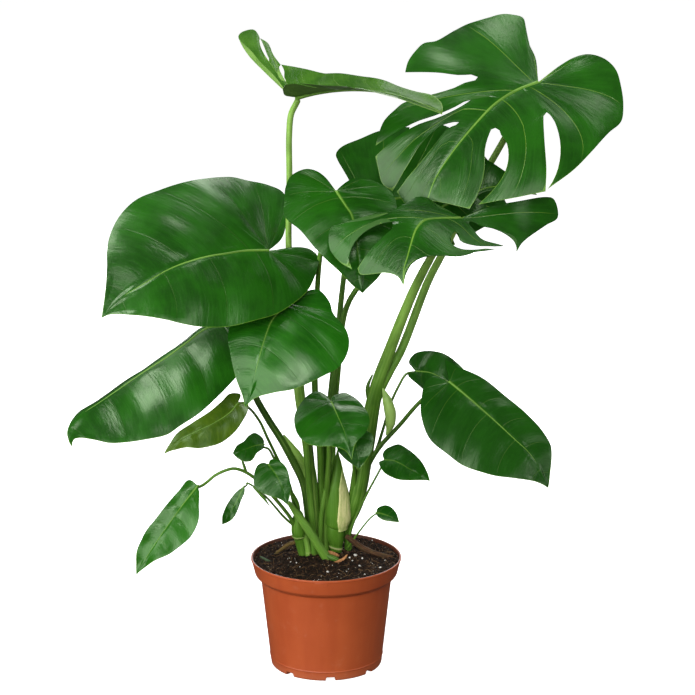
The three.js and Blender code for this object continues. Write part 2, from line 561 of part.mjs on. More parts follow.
// Welded vertices and triangles of a blade's middle surface, all turned to its upper face.
function bladeSheet(leaf) {
  const frame = bladeFrame(leaf);
  const ribCurve = splineThrough(frame.rib);
  const cells = Math.max(4, Math.round(ribCurve.getLength() / leaf.cell));
  const ribPoints = ribCurve.getSpacedPoints(cells);
  const rows = leaf.cell === LARGE_CELL ? LARGE_ROWS : SMALL_ROWS;
  const vertices = [];
  const lookup = new Map();
  const triangles = [];
  const vertexAt = (p) => {
    const key = `${p.x.toFixed(2)},${p.y.toFixed(2)}`;
    if (!lookup.has(key)) {
      lookup.set(key, vertices.length);
      vertices.push(bladePoint(leaf, frame, p.x, p.y));
    }
    return lookup.get(key);
  };
  const halves = [
    { lobes: leaf.left, slots: leaf.leftSlots ?? [], turn: 1 },
    { lobes: leaf.right, slots: leaf.rightSlots ?? [], turn: -1 },
  ];
  for (const half of halves) {
    const strips = halfStrips(half.lobes, half.slots, ribPoints, leaf.cell, rows);
    for (const strip of strips) {
      for (let j = 1; j < strip.length; j += 1) {
        for (let i = 1; i < strip[j].length; i += 1) {
          const corners = [strip[j - 1][i - 1], strip[j][i - 1], strip[j][i], strip[j - 1][i]];
          const [p, q, r, s] = corners.map(vertexAt);
          for (const [x, y, z] of [[p, q, r], [p, r, s]]) {
            if (x === y || y === z || z === x) continue;
            triangles.push(half.turn > 0 ? [x, y, z] : [x, z, y]);
          }
        }
      }
    }
  }
  return { vertices, triangles };
}

// A closed solid of even thickness on both sides of a sheet, split alike on both faces.
function thickened(sheet, thickness) {
  const { vertices, triangles } = sheet;
  const normals = vertices.map(() => new THREE.Vector3());
  const edges = new Map();
  for (const triangle of triangles) {
    const [a, b, c] = triangle.map((i) => vertices[i]);
    const normal = new THREE.Vector3().crossVectors(b.clone().sub(a), c.clone().sub(a));
    triangle.forEach((i) => normals[i].add(normal));
    for (let k = 0; k < 3; k += 1) {
      const from = triangle[k];
      const to = triangle[(k + 1) % 3];
      edges.set(`${from},${to}`, [from, to]);
    }
  }
  normals.forEach((n) => n.normalize());
  const count = vertices.length;
  const positions = [];
  for (const offset of [thickness / 2, -thickness / 2]) {
    vertices.forEach((v, i) => {
      const p = v.clone().addScaledVector(normals[i], offset);
      positions.push(p.x, p.y, p.z);
    });
  }
  const index = [];
  for (const [a, b, c] of triangles) {
    index.push(a, b, c);
    index.push(a + count, c + count, b + count);
  }
  for (const [from, to] of edges.values()) {
    if (edges.has(`${to},${from}`)) continue;
    index.push(from, from + count, to + count);
    index.push(from, to + count, to);
  }
  const geometry = new THREE.BufferGeometry();
  geometry.setAttribute('position', new THREE.Float32BufferAttribute(positions, 3));
  geometry.setIndex(index);
  geometry.computeVertexNormals();
  return geometry;
}

// ---------------------------------------------------------------- stalks
function radiusAt(radii, t) {
  const place = t * (radii.length - 1);
  const i = Math.min(radii.length - 2, Math.floor(place));
  return THREE.MathUtils.lerp(radii[i], radii[i + 1], place - i);
}

// The two points that bring a stalk in under the base of its blade.
function stalkStart(leaf, radius) {
  const frame = bladeFrame(leaf);
  const base = bladePoint(leaf, frame, 0, 0);
  const ahead = bladePoint(leaf, frame, 2, ribOffset(frame, 2)).sub(base).normalize();
  const down = new THREE.Vector3().crossVectors(ahead, frame.across).normalize();
  if (down.dot(frame.face) > 0) down.negate();
  const end = base.clone().addScaledVector(ahead, 2).addScaledVector(down, radius + 0.9);
  const knee = base.clone().addScaledVector(ahead, -3).addScaledVector(down, radius + 5);
  return [end.toArray(), knee.toArray()];
}

function stalkGeometry(stalk, grow = 0) {
  const leaf = LEAVES.find((item) => item.name === stalk.blade);
  const start = leaf ? stalkStart(leaf, stalk.radii[0]) : [];
  const curve = splineThrough([...start, ...stalk.points]);
  const steps = Math.max(3, Math.round(curve.getLength() / STALK_STEP));
  const frames = curve.computeFrenetFrames(steps, false);
  const sides = stalk.radii[0] < 2 && Math.max(...stalk.radii) < 3 ? SLIM_SIDES : STALK_SIDES;
  const positions = [];
  const index = [];
  for (let i = 0; i <= steps; i += 1) {
    const centre = curve.getPointAt(i / steps);
    const end = i === 0 ? -grow : i === steps ? grow : 0;
    centre.addScaledVector(frames.tangents[i], end);
    const radius = radiusAt(stalk.radii, i / steps) + grow;
    for (let k = 0; k < sides; k += 1) {
      const angle = (2 * Math.PI * k) / sides;
      const rim = centre.clone();
      rim.addScaledVector(frames.normals[i], radius * Math.cos(angle));
      rim.addScaledVector(frames.binormals[i], radius * Math.sin(angle));
      positions.push(rim.x, rim.y, rim.z);
    }
  }
  for (let i = 0; i < steps; i += 1) {
    for (let k = 0; k < sides; k += 1) {
      const a = i * sides + k;
      const b = i * sides + ((k + 1) % sides);
      index.push(a, b, b + sides);
      index.push(a, b + sides, a + sides);
    }
  }
  const top = steps * sides;
  for (let k = 1; k < sides - 1; k += 1) {
    index.push(0, k + 1, k);
    index.push(top, top + k, top + k + 1);
  }
  const geometry = new THREE.BufferGeometry();
  geometry.setAttribute('position', new THREE.Float32BufferAttribute(positions, 3));
  geometry.setIndex(index);
  geometry.computeVertexNormals();
  return geometry;
}

function stemSolid(stalks, grow = 0) {
  return joined(stalks.map((stalk) => solidOf(stalkGeometry(stalk, grow))));
}

// ---------------------------------------------------------------- pot
function lathe(profile, segments) {
  const points = profile.map(([r, z]) => new THREE.Vector2(r, z));
  const geometry = new THREE.LatheGeometry(points, segments);
  geometry.rotateX(Math.PI / 2);
  return geometry;
}

function wallRadius(z) {
  return THREE.MathUtils.lerp(FOOT_RADIUS, BODY_RADIUS, z / (POT_HEIGHT - RIM_BAND));
}

function potSolid() {
  const step = POT_HEIGHT - RIM_BAND;
  const floor = FLOOR_LIFT + WALL;
  const footInner = FOOT_RADIUS - FOOT_WIDTH;
  const profile = [
    [0, 0], [PAD_RADIUS, 0], [PAD_RADIUS + 1, FLOOR_LIFT], [footInner - 1, FLOOR_LIFT], [footInner, 0],
    [FOOT_RADIUS - 1, 0], [FOOT_RADIUS, 1],
    [wallRadius(RING_HEIGHT - 0.8), RING_HEIGHT - 0.8], [wallRadius(RING_HEIGHT) + RING_PROUD, RING_HEIGHT],
    [wallRadius(RING_HEIGHT + 0.8), RING_HEIGHT + 0.8],
    [wallRadius(WAIST_HEIGHT), WAIST_HEIGHT], [BODY_RADIUS, step - 2.6], [BODY_RADIUS + 1.6, step - 1.2],
    [RIM_FOOT_RADIUS - 1.6, step + 0.6], [RIM_FOOT_RADIUS, step + 2.4],
    [RIM_RADIUS - 0.5, POT_HEIGHT - 2.2], [RIM_RADIUS, POT_HEIGHT - 1.6], [RIM_RADIUS, POT_HEIGHT - 0.3],
    [RIM_RADIUS - 0.4, POT_HEIGHT], [RIM_RADIUS - WALL, POT_HEIGHT],
    [RIM_FOOT_RADIUS - WALL, step + 2.6], [BODY_RADIUS - WALL, step],
    [wallRadius(WAIST_HEIGHT) - WALL, WAIST_HEIGHT],
    [FOOT_RADIUS - WALL + 0.4, floor + 2], [FOOT_RADIUS - WALL - 1.6, floor], [0, floor],
  ];
  let solid = solidOf(lathe(profile, POT_SEGMENTS));
  for (let i = 0; i < NOTCHES; i += 1) {
    const turn = THREE.MathUtils.degToRad(NOTCH_TURN + (360 * i) / NOTCHES - 90);
    const notch = new THREE.BoxGeometry(FOOT_WIDTH + 6, NOTCH_WIDTH, 2 * NOTCH_HEIGHT);
    notch.translate(FOOT_RADIUS, 0, 0);
    notch.rotateZ(turn);
    solid = solid.subtract(solidOf(notch));
    const drain = new THREE.CylinderGeometry(DRAIN_RADIUS, DRAIN_RADIUS, 4 * WALL, 10);
    drain.rotateX(Math.PI / 2);
    drain.translate(DRAIN_CIRCLE, 0, FLOOR_LIFT + WALL / 2);
    drain.rotateZ(turn);
    solid = solid.subtract(solidOf(drain));
  }
  return solid;
}

// ---------------------------------------------------------------- soil
function soilTop(x, y) {
  const out = Math.hypot(x, y) / RIM_FOOT_RADIUS;
  const mound = SOIL_EDGE + SOIL_MOUND * Math.max(0, 1 - out * out);
  const lumps = Math.sin(0.41 * x + 1.3) * Math.sin(0.37 * y + 0.4) + 0.6 * Math.sin(0.9 * x - 0.7 * y);
  return mound + SOIL_LUMP * lumps;
}

function soilSolid() {
  const step = POT_HEIGHT - RIM_BAND;
  const floor = FLOOR_LIFT + WALL + GAP;
  const band = THREE.MathUtils.mapLinear(SOIL_EDGE, step, POT_HEIGHT, RIM_FOOT_RADIUS, RIM_RADIUS);
  const edge = band - WALL - SOIL_CLEAR;
  const inner = wallRadius(WAIST_HEIGHT) - WALL - SOIL_CLEAR;
  const wall = [
    [edge, SOIL_EDGE], [RIM_FOOT_RADIUS - WALL - SOIL_CLEAR, step + 2.6],
    [BODY_RADIUS - WALL - SOIL_CLEAR, step],
    [inner, WAIST_HEIGHT], [FOOT_RADIUS - WALL - SOIL_CLEAR, floor + 2], [FOOT_RADIUS - WALL - 2.4, floor],
  ];
  const positions = [0, 0, soilTop(0, 0)];
  const index = [];
  const ringAt = (radius, heightOf) => {
    for (let k = 0; k < SOIL_SEGMENTS; k += 1) {
      const angle = (2 * Math.PI * k) / SOIL_SEGMENTS;
      const x = radius * Math.cos(angle);
      const y = radius * Math.sin(angle);
      positions.push(x, y, heightOf(x, y));
    }
  };
  for (let i = 1; i <= SOIL_RINGS; i += 1) {
    ringAt((edge * i) / SOIL_RINGS, soilTop);
  }
  wall.slice(1).forEach(([radius, z]) => ringAt(radius, () => z));
  const rings = SOIL_RINGS + wall.length - 1;
  positions.push(0, 0, floor);
  const last = positions.length / 3 - 1;
  for (let k = 0; k < SOIL_SEGMENTS; k += 1) {
    const next = (k + 1) % SOIL_SEGMENTS;
    index.push(0, 1 + k, 1 + next);
    for (let i = 1; i < rings; i += 1) {
      const a = 1 + (i - 1) * SOIL_SEGMENTS;
      const b = a + SOIL_SEGMENTS;
      index.push(a + k, b + k, b + next);
      index.push(a + k, b + next, a + next);
    }
    const foot = 1 + (rings - 1) * SOIL_SEGMENTS;
    index.push(last, foot + next, foot + k);
  }
  const geometry = new THREE.BufferGeometry();
  geometry.setAttribute('position', new THREE.Float32BufferAttribute(positions, 3));
  geometry.setIndex(index);
  return solidOf(geometry);
}

// A dry husk: a small curled scale, thicker than paper, with pointed ends.
function huskGeometry(husk, grow = 0) {
  const from = new THREE.Vector3(...husk.from);
  const to = new THREE.Vector3(...husk.to);
  const along = to.clone().sub(from);
  const across = new THREE.Vector3(-along.y, along.x, 0).normalize();
  const up = new THREE.Vector3().crossVectors(along, across).normalize();
  const vertices = [];
  const steps = 6;
  for (let i = 0; i <= steps; i += 1) {
    const t = i / steps;
    const half = (husk.width / 2) * Math.sqrt(Math.sin(Math.PI * (0.08 + 0.84 * t)));
    for (const side of [-1, 0, 1]) {
      const p = from.clone().addScaledVector(along, t).addScaledVector(across, side * half);
      vertices.push(p.addScaledVector(up, husk.rise * (side * side) + 0.5 * Math.sin(Math.PI * t)));
    }
  }
  const triangles = [];
  for (let i = 0; i < steps; i += 1) {
    for (let k = 0; k < 2; k += 1) {
      const a = i * 3 + k;
      triangles.push([a, a + 3, a + 4], [a, a + 4, a + 1]);
    }
  }
  return thickened({ vertices, triangles }, BLADE + 2 * grow);
}

// ---------------------------------------------------------------- the plant
const plant = new THREE.Group();
const sheets = LEAVES.map((leaf) => ({ leaf, sheet: bladeSheet(leaf) }));
const clearance = joined(sheets.map(({ sheet }) => solidOf(thickened(sheet, BLADE + 2 * GAP))));
const leftStem = stemSolid(LEFT_STEM).subtract(clearance);
const leftRoom = stemSolid(LEFT_STEM, GAP);
const mainStem = stemSolid(MAIN_STEM).subtract(clearance).subtract(leftRoom);
const stemRoom = stemSolid(MAIN_STEM, GAP).add(leftRoom);
const youngLeaf = solidOf(stalkGeometry(YOUNG_LEAF)).subtract(stemRoom);

plant.add(part('pot', geometryOf(potSolid()), 'pot', 0.45));
plant.add(part('stem_main', geometryOf(mainStem), 'stem'));
plant.add(part('stem_left', geometryOf(leftStem), 'stem'));
plant.add(part('young_leaf', geometryOf(youngLeaf), 'paleStem'));
for (const { leaf, sheet } of sheets) {
  plant.add(part(leaf.name, thickened(sheet, BLADE), leaf.colour, 0.35));
}

let soil = soilSolid().subtract(stemRoom);
for (const root of ROOTS) {
  const room = solidOf(stalkGeometry(root, GAP));
  plant.add(part(root.name, geometryOf(solidOf(stalkGeometry(root)).subtract(stemRoom)), root.colour, 0.85));
  soil = soil.subtract(room);
}
for (const husk of HUSKS) {
  const solid = solidOf(huskGeometry(husk)).subtract(stemRoom);
  plant.add(part(husk.name, geometryOf(solid), 'husk', 0.8));
  soil = soil.subtract(solidOf(huskGeometry(husk, GAP)));
}
plant.add(part('soil', geometryOf(soil), 'soil', 0.95));

export default plant;
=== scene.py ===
import math
import random

import bpy
import numpy as np
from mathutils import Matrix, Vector, noise
from mathutils.kdtree import KDTree


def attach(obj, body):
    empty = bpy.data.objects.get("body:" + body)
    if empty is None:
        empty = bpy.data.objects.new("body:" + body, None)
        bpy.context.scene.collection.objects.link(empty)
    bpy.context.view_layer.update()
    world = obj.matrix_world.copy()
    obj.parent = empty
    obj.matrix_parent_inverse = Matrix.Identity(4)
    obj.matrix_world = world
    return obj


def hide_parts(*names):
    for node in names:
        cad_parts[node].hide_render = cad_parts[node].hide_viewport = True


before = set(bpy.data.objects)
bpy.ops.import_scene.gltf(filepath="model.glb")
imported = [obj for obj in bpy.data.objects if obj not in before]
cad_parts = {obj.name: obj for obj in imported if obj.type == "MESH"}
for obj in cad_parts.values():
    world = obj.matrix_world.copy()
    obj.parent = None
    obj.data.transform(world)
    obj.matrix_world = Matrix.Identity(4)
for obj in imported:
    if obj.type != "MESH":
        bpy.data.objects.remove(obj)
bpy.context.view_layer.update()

# Potted monstera plant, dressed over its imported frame. Lengths are millimetres up to the floor.
MM = 0.001
SEED = 5417
# The camera: the photo is this many pixels wide, and its lens this many pixels long.
PHOTO_PIXELS = 695
FOCAL_PIXELS = 1900
SENSOR_WIDTH = 36

# ------------------------------------------------------------------ the plant's leaves and stalks
# A blade lies over a plane that runs from its base to its tip and looks along face. rib, left and
# right are points [along, across] on that plane: left and right hold a stretch of margin for each
# finger, and a slot between two fingers leaves the midrib at a share of its length. fold, droop,
# reach and curl are for the left and right half.
USUAL_LEAF = dict(finish="leaf", large=True, swell=1, tone=0, vein=0.12, left_slots=(), right_slots=())
LEAVES = [
  dict(name="blade_big_left", base=[-55, -25, 434], tip=[-210, -95, 382], face=[-0.15, -0.82, 0.55],
    arch=16, fold=[0.12, 0.1], droop=[14, 12], reach=[65, 80], vein=0.07,
    rib=[[21, -5], [44, -8], [62, -11], [97, -13], [129, -10], [158, -7]],
    left=[[
      [-29, 4], [-42, 12], [-45, 22], [-40, 30], [-21, 49], [-2, 59], [26, 66], [57, 65],
      [81, 60], [105, 50], [129, 32], [150, 16], [170, 2],
    ]],
    right=[[
      [-23, -12], [-50, -60], [-40, -76], [-23, -89], [-8, -99], [40, -103], [68, -103],
      [93, -101], [118, -89], [135, -73], [145, -58], [151, -45], [159, -30], [168, -15],
    ]],),
  dict(name="blade_upper_heart", base=[11, -40, 494], tip=[36, -78, 402], face=[0.12, -0.82, 0.55],
    arch=10, fold=[0.15, 0.15], droop=[8, 8], reach=[50, 50], vein=0.14,
    rib=[[17, 4], [28, 7], [53, 5], [77, 2]],
    left=[[
      [-3, 4], [-9, 18], [-6, 33], [3, 45], [14, 52], [25, 53], [47, 46], [74, 33], [90, 20],
    ]],
    right=[[
      [-17, -6], [-25, -13], [-29, -23], [-25, -38], [-15, -46], [-1, -51], [14, -55],
      [32, -45], [60, -32], [81, -17], [94, -8],
    ]],),
  dict(name="blade_middle", base=[-42, -45, 386], tip=[-76, -92, 294], face=[-0.1, -0.85, 0.5],
    arch=14, fold=[0.1, 0.1], droop=[10, 10], reach=[55, 55], finish="pale_leaf", vein=0.03,
    rib=[[5, 3], [21, -1], [36, -1], [72, 1], [97, 2]],
    left=[[
      [-16, 13], [-25, 28], [-16, 43], [-6, 50], [6, 67], [16, 74], [31, 77], [46, 74],
      [58, 65], [80, 42], [90, 22], [98, 8],
    ]],
    right=[[
      [-10, -6], [-12, -16], [-2, -26], [14, -33], [33, -38], [50, -36], [67, -27], [87, -15], [100, -5],
    ]],),
  dict(name="blade_low_left", base=[-90, 25, 352], tip=[-252, -34, 239], face=[-0.35, -0.65, 0.7],
    arch=14, fold=[0.12, -1.15], droop=[10, 0], reach=[60, 60], vein=0.05,
    rib=[
      [28, -12], [50, -9], [80, -7], [96, -8], [132, -11], [163, -16], [181, -20], [197, -17], [204, -10],
    ],
    left=[[
      [-12, 8], [-6, 26], [12, 44], [32, 57], [53, 65], [72, 69], [90, 71], [113, 68], [128, 66],
      [148, 55], [162, 44], [175, 32], [185, 16], [194, 2], [200, -3],
    ]],
    right=[[
      [-14, -6], [-16, -20], [-4, -40], [20, -56], [50, -64], [85, -66], [118, -62], [146, -52],
      [172, -40], [190, -28], [201, -18],
    ]],),
  dict(name="blade_curled", base=[-86, -38, 285], tip=[-156, -75, 243], face=[-0.4, -0.75, 0.5],
    arch=8, fold=[0.3, 0.3], droop=[4, 4], reach=[30, 20], finish="olive_leaf", large=False, vein=0.1,
    rib=[[13, 7], [33, 9], [54, 5], [70, 1]],
    left=[[[-7, 6], [-1, 16], [11, 25], [29, 33], [47, 34], [62, 25], [72, 13], [82, 4]]],
    right=[[[-8, -7], [0, -13], [13, -9], [24, -6], [38, -4], [51, -5], [70, -6], [82, -3]]],),
  dict(name="blade_small_blunt", base=[-61, -35, 241], tip=[-91, -49, 236], face=[-0.3, -0.8, 0.5],
    arch=3, fold=[0.15, 0.15], droop=[2, 2], reach=[12, 12], large=False, vein=0.1,
    rib=[[11, 0], [22, 1]],
    left=[[[2, 4], [11, 8], [19, 14], [26, 13], [31, 7]]],
    right=[[[-2, -4], [-1, -10], [4, -15], [11, -13], [19, -8], [27, -6]]],),
  dict(name="blade_small_heart", base=[-56, -45, 223], tip=[-37, -62, 187], face=[0.1, -0.85, 0.5],
    arch=3, fold=[0.15, 0.15], droop=[2, 2], reach=[18, 18], large=False, tone=0.3, vein=0.1,
    rib=[[13, 2], [29, 2]],
    left=[[[-4, 4], [-2, 9], [8, 14], [20, 13], [35, 7]]],
    right=[[[-4, -3], [-4, -10], [4, -18], [15, -22], [27, -15], [37, -4]]],),
  dict(name="blade_hanging_left", base=[-127, -40, 200], tip=[-188, -60, 114], face=[-0.5, -0.75, 0.4],
    arch=5, fold=[0.15, 0.8], droop=[4, 0], reach=[30, 12], finish="pale_leaf", large=False, tone=0.35,
    vein=0.2,
    rib=[[36, 1], [66, 1]],
    left=[[[4, 7], [14, 17], [26, 27], [45, 30], [66, 24], [84, 12], [98, 4]]],
    right=[[[0, -9], [16, -10], [37, -11], [62, -12], [86, -10], [99, -5]]],),
  dict(name="blade_hanging_drop", base=[-82, -30, 196], tip=[-104, -30, 156], face=[-0.3, -0.85, 0.4],
    arch=2, fold=[0.2, 0.3], droop=[1, 1], reach=[10, 8], large=False,
    rib=[[14, 2], [31, 2]],
    left=[[[3, 4], [13, 6], [24, 8], [35, 7]]],
    right=[[[7, -3], [23, -5], [37, -4]]],),
  dict(name="blade_centre", base=[6, -52, 289], tip=[26, -100, 244], face=[0.05, -0.8, 0.6],
    arch=8, fold=[0.12, 0.12], droop=[8, 8], reach=[38, 38], large=False, tone=0.15, vein=0.1,
    rib=[[21, 0], [42, 1]],
    left=[[[-7, 3], [-9, 10], [-8, 17], [8, 25], [27, 29], [38, 27], [47, 20], [55, 8]]],
    right=[[
      [-11, -2], [-19, -8], [-18, -18], [-10, -28], [1, -37], [12, -41], [27, -42], [41, -36],
      [48, -26], [52, -14], [59, -4],
    ]],),
  dict(name="blade_centre_back", base=[24, -32, 262], tip=[33, -55, 221], face=[0.1, -0.85, 0.5],
    arch=4, fold=[0.3, 0.3], droop=[2, 2], reach=[18, 18], large=False,
    rib=[[24, 1], [35, 1]],
    left=[[[-2, 6], [10, 13], [17, 19], [31, 16], [42, 7]]],
    right=[[[-3, -6], [7, -12], [18, -17], [26, -18], [35, -13], [42, -6]]],),
  dict(name="blade_right", base=[123, -20, 301], tip=[219, -60, 204], face=[0.25, -0.8, 0.55],
    arch=12, fold=[0.12, 0.12], droop=[8, 8], reach=[45, 50], tone=-0.5, vein=0.14,
    rib=[[28, 0], [55, 1], [82, 3], [110, 6]],
    left=[[
      [-6, 8], [-14, 12], [-20, 15], [-3, 20], [19, 27], [38, 29], [62, 31], [83, 33],
      [102, 32], [113, 30], [120, 25], [133, 11],
    ]],
    right=[[
      [-12, -3], [-16, -9], [-15, -20], [-7, -33], [3, -45], [20, -56], [34, -60], [50, -59],
      [71, -55], [88, -46], [100, -37], [115, -22], [129, -8],
    ]],),
  dict(name="blade_right_back", base=[92, 30, 300], tip=[158, 62, 262], face=[0.1, -0.75, 0.6],
    arch=6, fold=[0.1, 0.1], droop=[4, 4], reach=[30, 30], large=False,
    rib=[[15, 3], [41, 0]],
    left=[[[-9, 7], [-5, 18], [8, 26], [28, 30], [50, 26], [66, 14]]],
    right=[[[-8, -6], [2, -14], [18, -20], [40, -20], [62, -10]]],),
  dict(name="blade_small_right", base=[59, -10, 218], tip=[104, -30, 202], face=[0.15, -0.8, 0.6],
    arch=5, fold=[0.12, 0.12], droop=[3, 3], reach=[18, 18], large=False, vein=0.12,
    rib=[[11, 2], [31, 0]],
    left=[[[-5, 5], [-5, 13], [3, 22], [16, 20], [34, 14], [46, 6]]],
    right=[[[-4, -4], [0, -9], [9, -14], [24, -15], [36, -10], [46, -3]]],),
  dict(name="blade_tiny_right", base=[51, -15, 164], tip=[74, -22, 156], face=[0.1, -0.8, 0.6],
    arch=2, fold=[0.1, 0.1], droop=[1, 1], reach=[8, 6], finish="pale_leaf", large=False, tone=-1,
    rib=[[10, 1], [18, 1]],
    left=[[[-1, 5], [5, 11], [12, 11], [19, 7]]],
    right=[[[2, -3], [9, -5], [18, -3]]],),
  dict(name="blade_split_right", base=[209, 30, 592], tip=[99, -28, 484], face=[-0.2, -0.9, 0.4],
    arch=14, fold=[0.1, 0.1], droop=[16, 16], reach=[110, 110], veins=[[3, 1, 2], [2, 1, 1, 2]], vein=0.6,
    rib=[[22, -8], [49, -13], [75, -13], [114, -11], [145, -7]],
    left=[
      [
        [-29, 2], [-49, 7], [-60, 15], [-66, 30], [-64, 46], [-52, 63], [-38, 77], [-22, 87],
        [-4, 87], [27, 89], [55, 89],
      ],
      [[109, 69], [127, 54]],
      [[152, 29]],
    ],
    left_slots=[
      dict(at=0.1, root=[23, 30], before=[[30, 49], [43, 64], [60, 76], [75, 82], [86, 84]],
        after=[[29, 31], [49, 49], [71, 70], [89, 84]]),
      dict(at=0.42, root=[70, 5], before=[[72, 13], [75, 23], [86, 35], [102, 43], [121, 45], [140, 43]],
        after=[[77, 4], [92, 11], [114, 28], [135, 37], [148, 39]]),
    ],
    right=[
      [
        [-20, -20], [-30, -38], [-39, -48], [-49, -61], [-46, -70], [-39, -80], [-28, -87],
        [-7, -98], [8, -101], [32, -105], [42, -112], [54, -112], [69, -109],
      ],
      [[105, -81], [117, -84], [132, -85], [146, -80]],
      [[168, -62], [178, -47]],
      [[179, -14]],
    ],
    right_slots=[
      dict(at=0.07, root=[38, -45], before=[[49, -60], [60, -77], [80, -103]],
        after=[[52, -50], [70, -56], [88, -66]]),
      dict(at=0.24, root=[53, -32], before=[[77, -39], [97, -48], [113, -58], [133, -67], [155, -75.5]],
        after=[[77, -36.4], [98, -45], [115, -55.4], [136, -63.4], [163, -69]]),
      dict(at=0.5, root=[88, -26], before=[[103, -37], [128, -40], [150, -37], [178, -34]],
        after=[[100, -30], [125, -29], [147, -29], [176, -30]]),
    ],),
  dict(name="blade_split_front", base=[130, -50, 470], tip=[74, -112, 416], face=[0.05, -0.8, 0.6],
    arch=12, fold=[0, 0], droop=[6, 6], reach=[90, 90], veins=[[2, 1, 3], [3, 2]], vein=0.5, swell=0.25,
    rib=[[6, -4], [19, -14], [33, -23], [47, -23], [63, -18], [76, -13], [89, -8]],
    left=[
      [[-35, 12], [-64, 31], [-88, 49], [-91, 55], [-75, 70], [-58, 66], [-23, 60]],
      [[-1, 49]],
      [[21, 37], [35, 32], [45, 26], [52, 18], [57, 6], [64, -2], [75, -6], [88, -7]],
    ],
    left_slots=[
      dict(at=0.03, root=[-3, 9], before=[[-6, 18], [-16, 34], [-21, 52], [-5, 62]],
        after=[[5, 17], [10, 30], [0, 47]]),
      dict(at=0.3, root=[22, 6], before=[[29, 16], [23, 30], [8, 44]],
        after=[[42, 14], [40, 24], [30, 34], [12, 46]]),
    ],
    right=[
      [
        [3, -10], [6, -22], [1, -36], [9, -45], [22, -47], [57, -58], [85, -87], [90, -90],
        [104, -80], [110, -63],
      ],
      [[110, -41], [99, -22], [96, -10]],
    ],
    right_slots=[
      dict(at=0.45, root=[54, -46], before=[[73, -64], [85, -69], [97, -63], [106, -56], [110, -50]],
        after=[[76, -44], [95, -46], [107, -46]]),
    ],),
  dict(name="blade_split_back", base=[37, 76, 462], tip=[192, 100, 452], face=[0.05, -0.9, 0.45],
    arch=10, fold=[0.1, 0.1], droop=[6, 6], reach=[60, 60], veins=[[3, 1, 1, 1], [2, 1, 1]], vein=0.3,
    rib=[[37, 8], [88, 8]],
    left=[
      [[-8, 12], [-14, 30], [-24, 49], [-26, 57], [-20, 65], [0, 74], [18, 82], [36, 86]],
      [[72, 91], [90, 88]],
      [[112, 74], [128, 58]],
      [[146, 18]],
    ],
    left_slots=[
      dict(at=0.2, root=[38, 40], before=[[42, 60], [50, 86]], after=[[46, 58], [56, 88]]),
      dict(at=0.42, root=[70, 36], before=[[84, 56], [100, 80]], after=[[88, 52], [106, 76]]),
      dict(at=0.65, root=[98, 26], before=[[118, 40], [134, 50]], after=[[122, 34], [138, 40]]),
    ],
    right=[
      [[-8, -8], [-10, -20], [0, -32], [14, -42], [36, -50]],
      [[66, -50], [84, -44]],
      [[112, -28], [134, -14]],
    ],
    right_slots=[
      dict(at=0.3, root=[46, -18], before=[[48, -36], [50, -52]], after=[[52, -34], [56, -52]]),
      dict(at=0.55, root=[78, -14], before=[[88, -28], [94, -40]], after=[[92, -24], [100, -36]]),
    ],),
  dict(name="blade_back_right", base=[86, 42, 441], tip=[213, 52, 477], face=[0, -0.96, 0.28],
    arch=10, fold=[0.1, 0.1], droop=[6, 6], reach=[40, 40], veins=[[5], [3, 1]], vein=0.3,
    rib=[[34, 14], [61, 18], [89, 20], [107, 14]],
    left=[[
      [-8, 8], [6, 19], [18, 38], [40, 51], [62, 56], [82, 56], [95, 46], [107, 32], [119, 18], [127, 8],
    ]],
    right=[
      [[-7, -7], [2, -12], [17, -14], [35, -10], [56, -4], [70, -3]],
      [[109, 13], [118, 8], [125, 3]],
    ],
    right_slots=[
      dict(at=0.52, root=[73, 14], before=[[76, 9], [78, 4], [80, 0]],
        after=[[84, 20], [93, 22], [100, 19]]),
    ],),
  dict(name="blade_split_top", base=[-28, 8, 580], tip=[109, -95, 574], face=[0, -0.02, 1],
    arch=13, fold=[0.4, 0.2], droop=[0, 0], reach=[60, 60], curl=[0.2, 0],
    veins=[[2, 1, 5], [2, 1, 2]], vein=0.5,
    rib=[[42, 3], [85, 5], [125, 4]],
    left=[
      [[-20, 11], [-54, 34], [-90, 53], [-114, 67], [-143, 82], [-146, 92], [-139, 101], [-125, 94]],
      [[-107, 87], [-90, 73]],
      [[-32, 57], [12, 46], [43, 38], [67, 33], [83, 29], [108, 22], [129, 19], [147, 20], [161, 14]],
    ],
    left_slots=[
      dict(at=0.02, root=[-80, 56], before=[[-94, 64], [-107, 74.5], [-115, 82], [-121, 90.3]],
        after=[[-94, 69], [-108, 81], [-115, 86.5], [-120.8, 90.9]]),
      dict(at=0.04, root=[-37, 30], before=[[-47, 33], [-57, 41], [-63, 50], [-65, 56]],
        after=[[-43, 35], [-53, 47], [-60, 53], [-64.5, 56.4]]),
    ],
    right=[
      [[-3, -8], [0, -18], [10, -33], [22, -48], [36, -60]],
      [[62, -60], [84, -52]],
      [[112, -40], [136, -28], [156, -14]],
    ],
    right_slots=[
      dict(at=0.28, root=[44, -24], before=[[44, -42], [46, -62]], after=[[48, -42], [52, -62]]),
      dict(at=0.52, root=[84, -20], before=[[92, -34], [98, -47]], after=[[95, -32], [103, -44]]),
    ],),
]
LEAVES = [{**USUAL_LEAF, **leaf} for leaf in LEAVES]

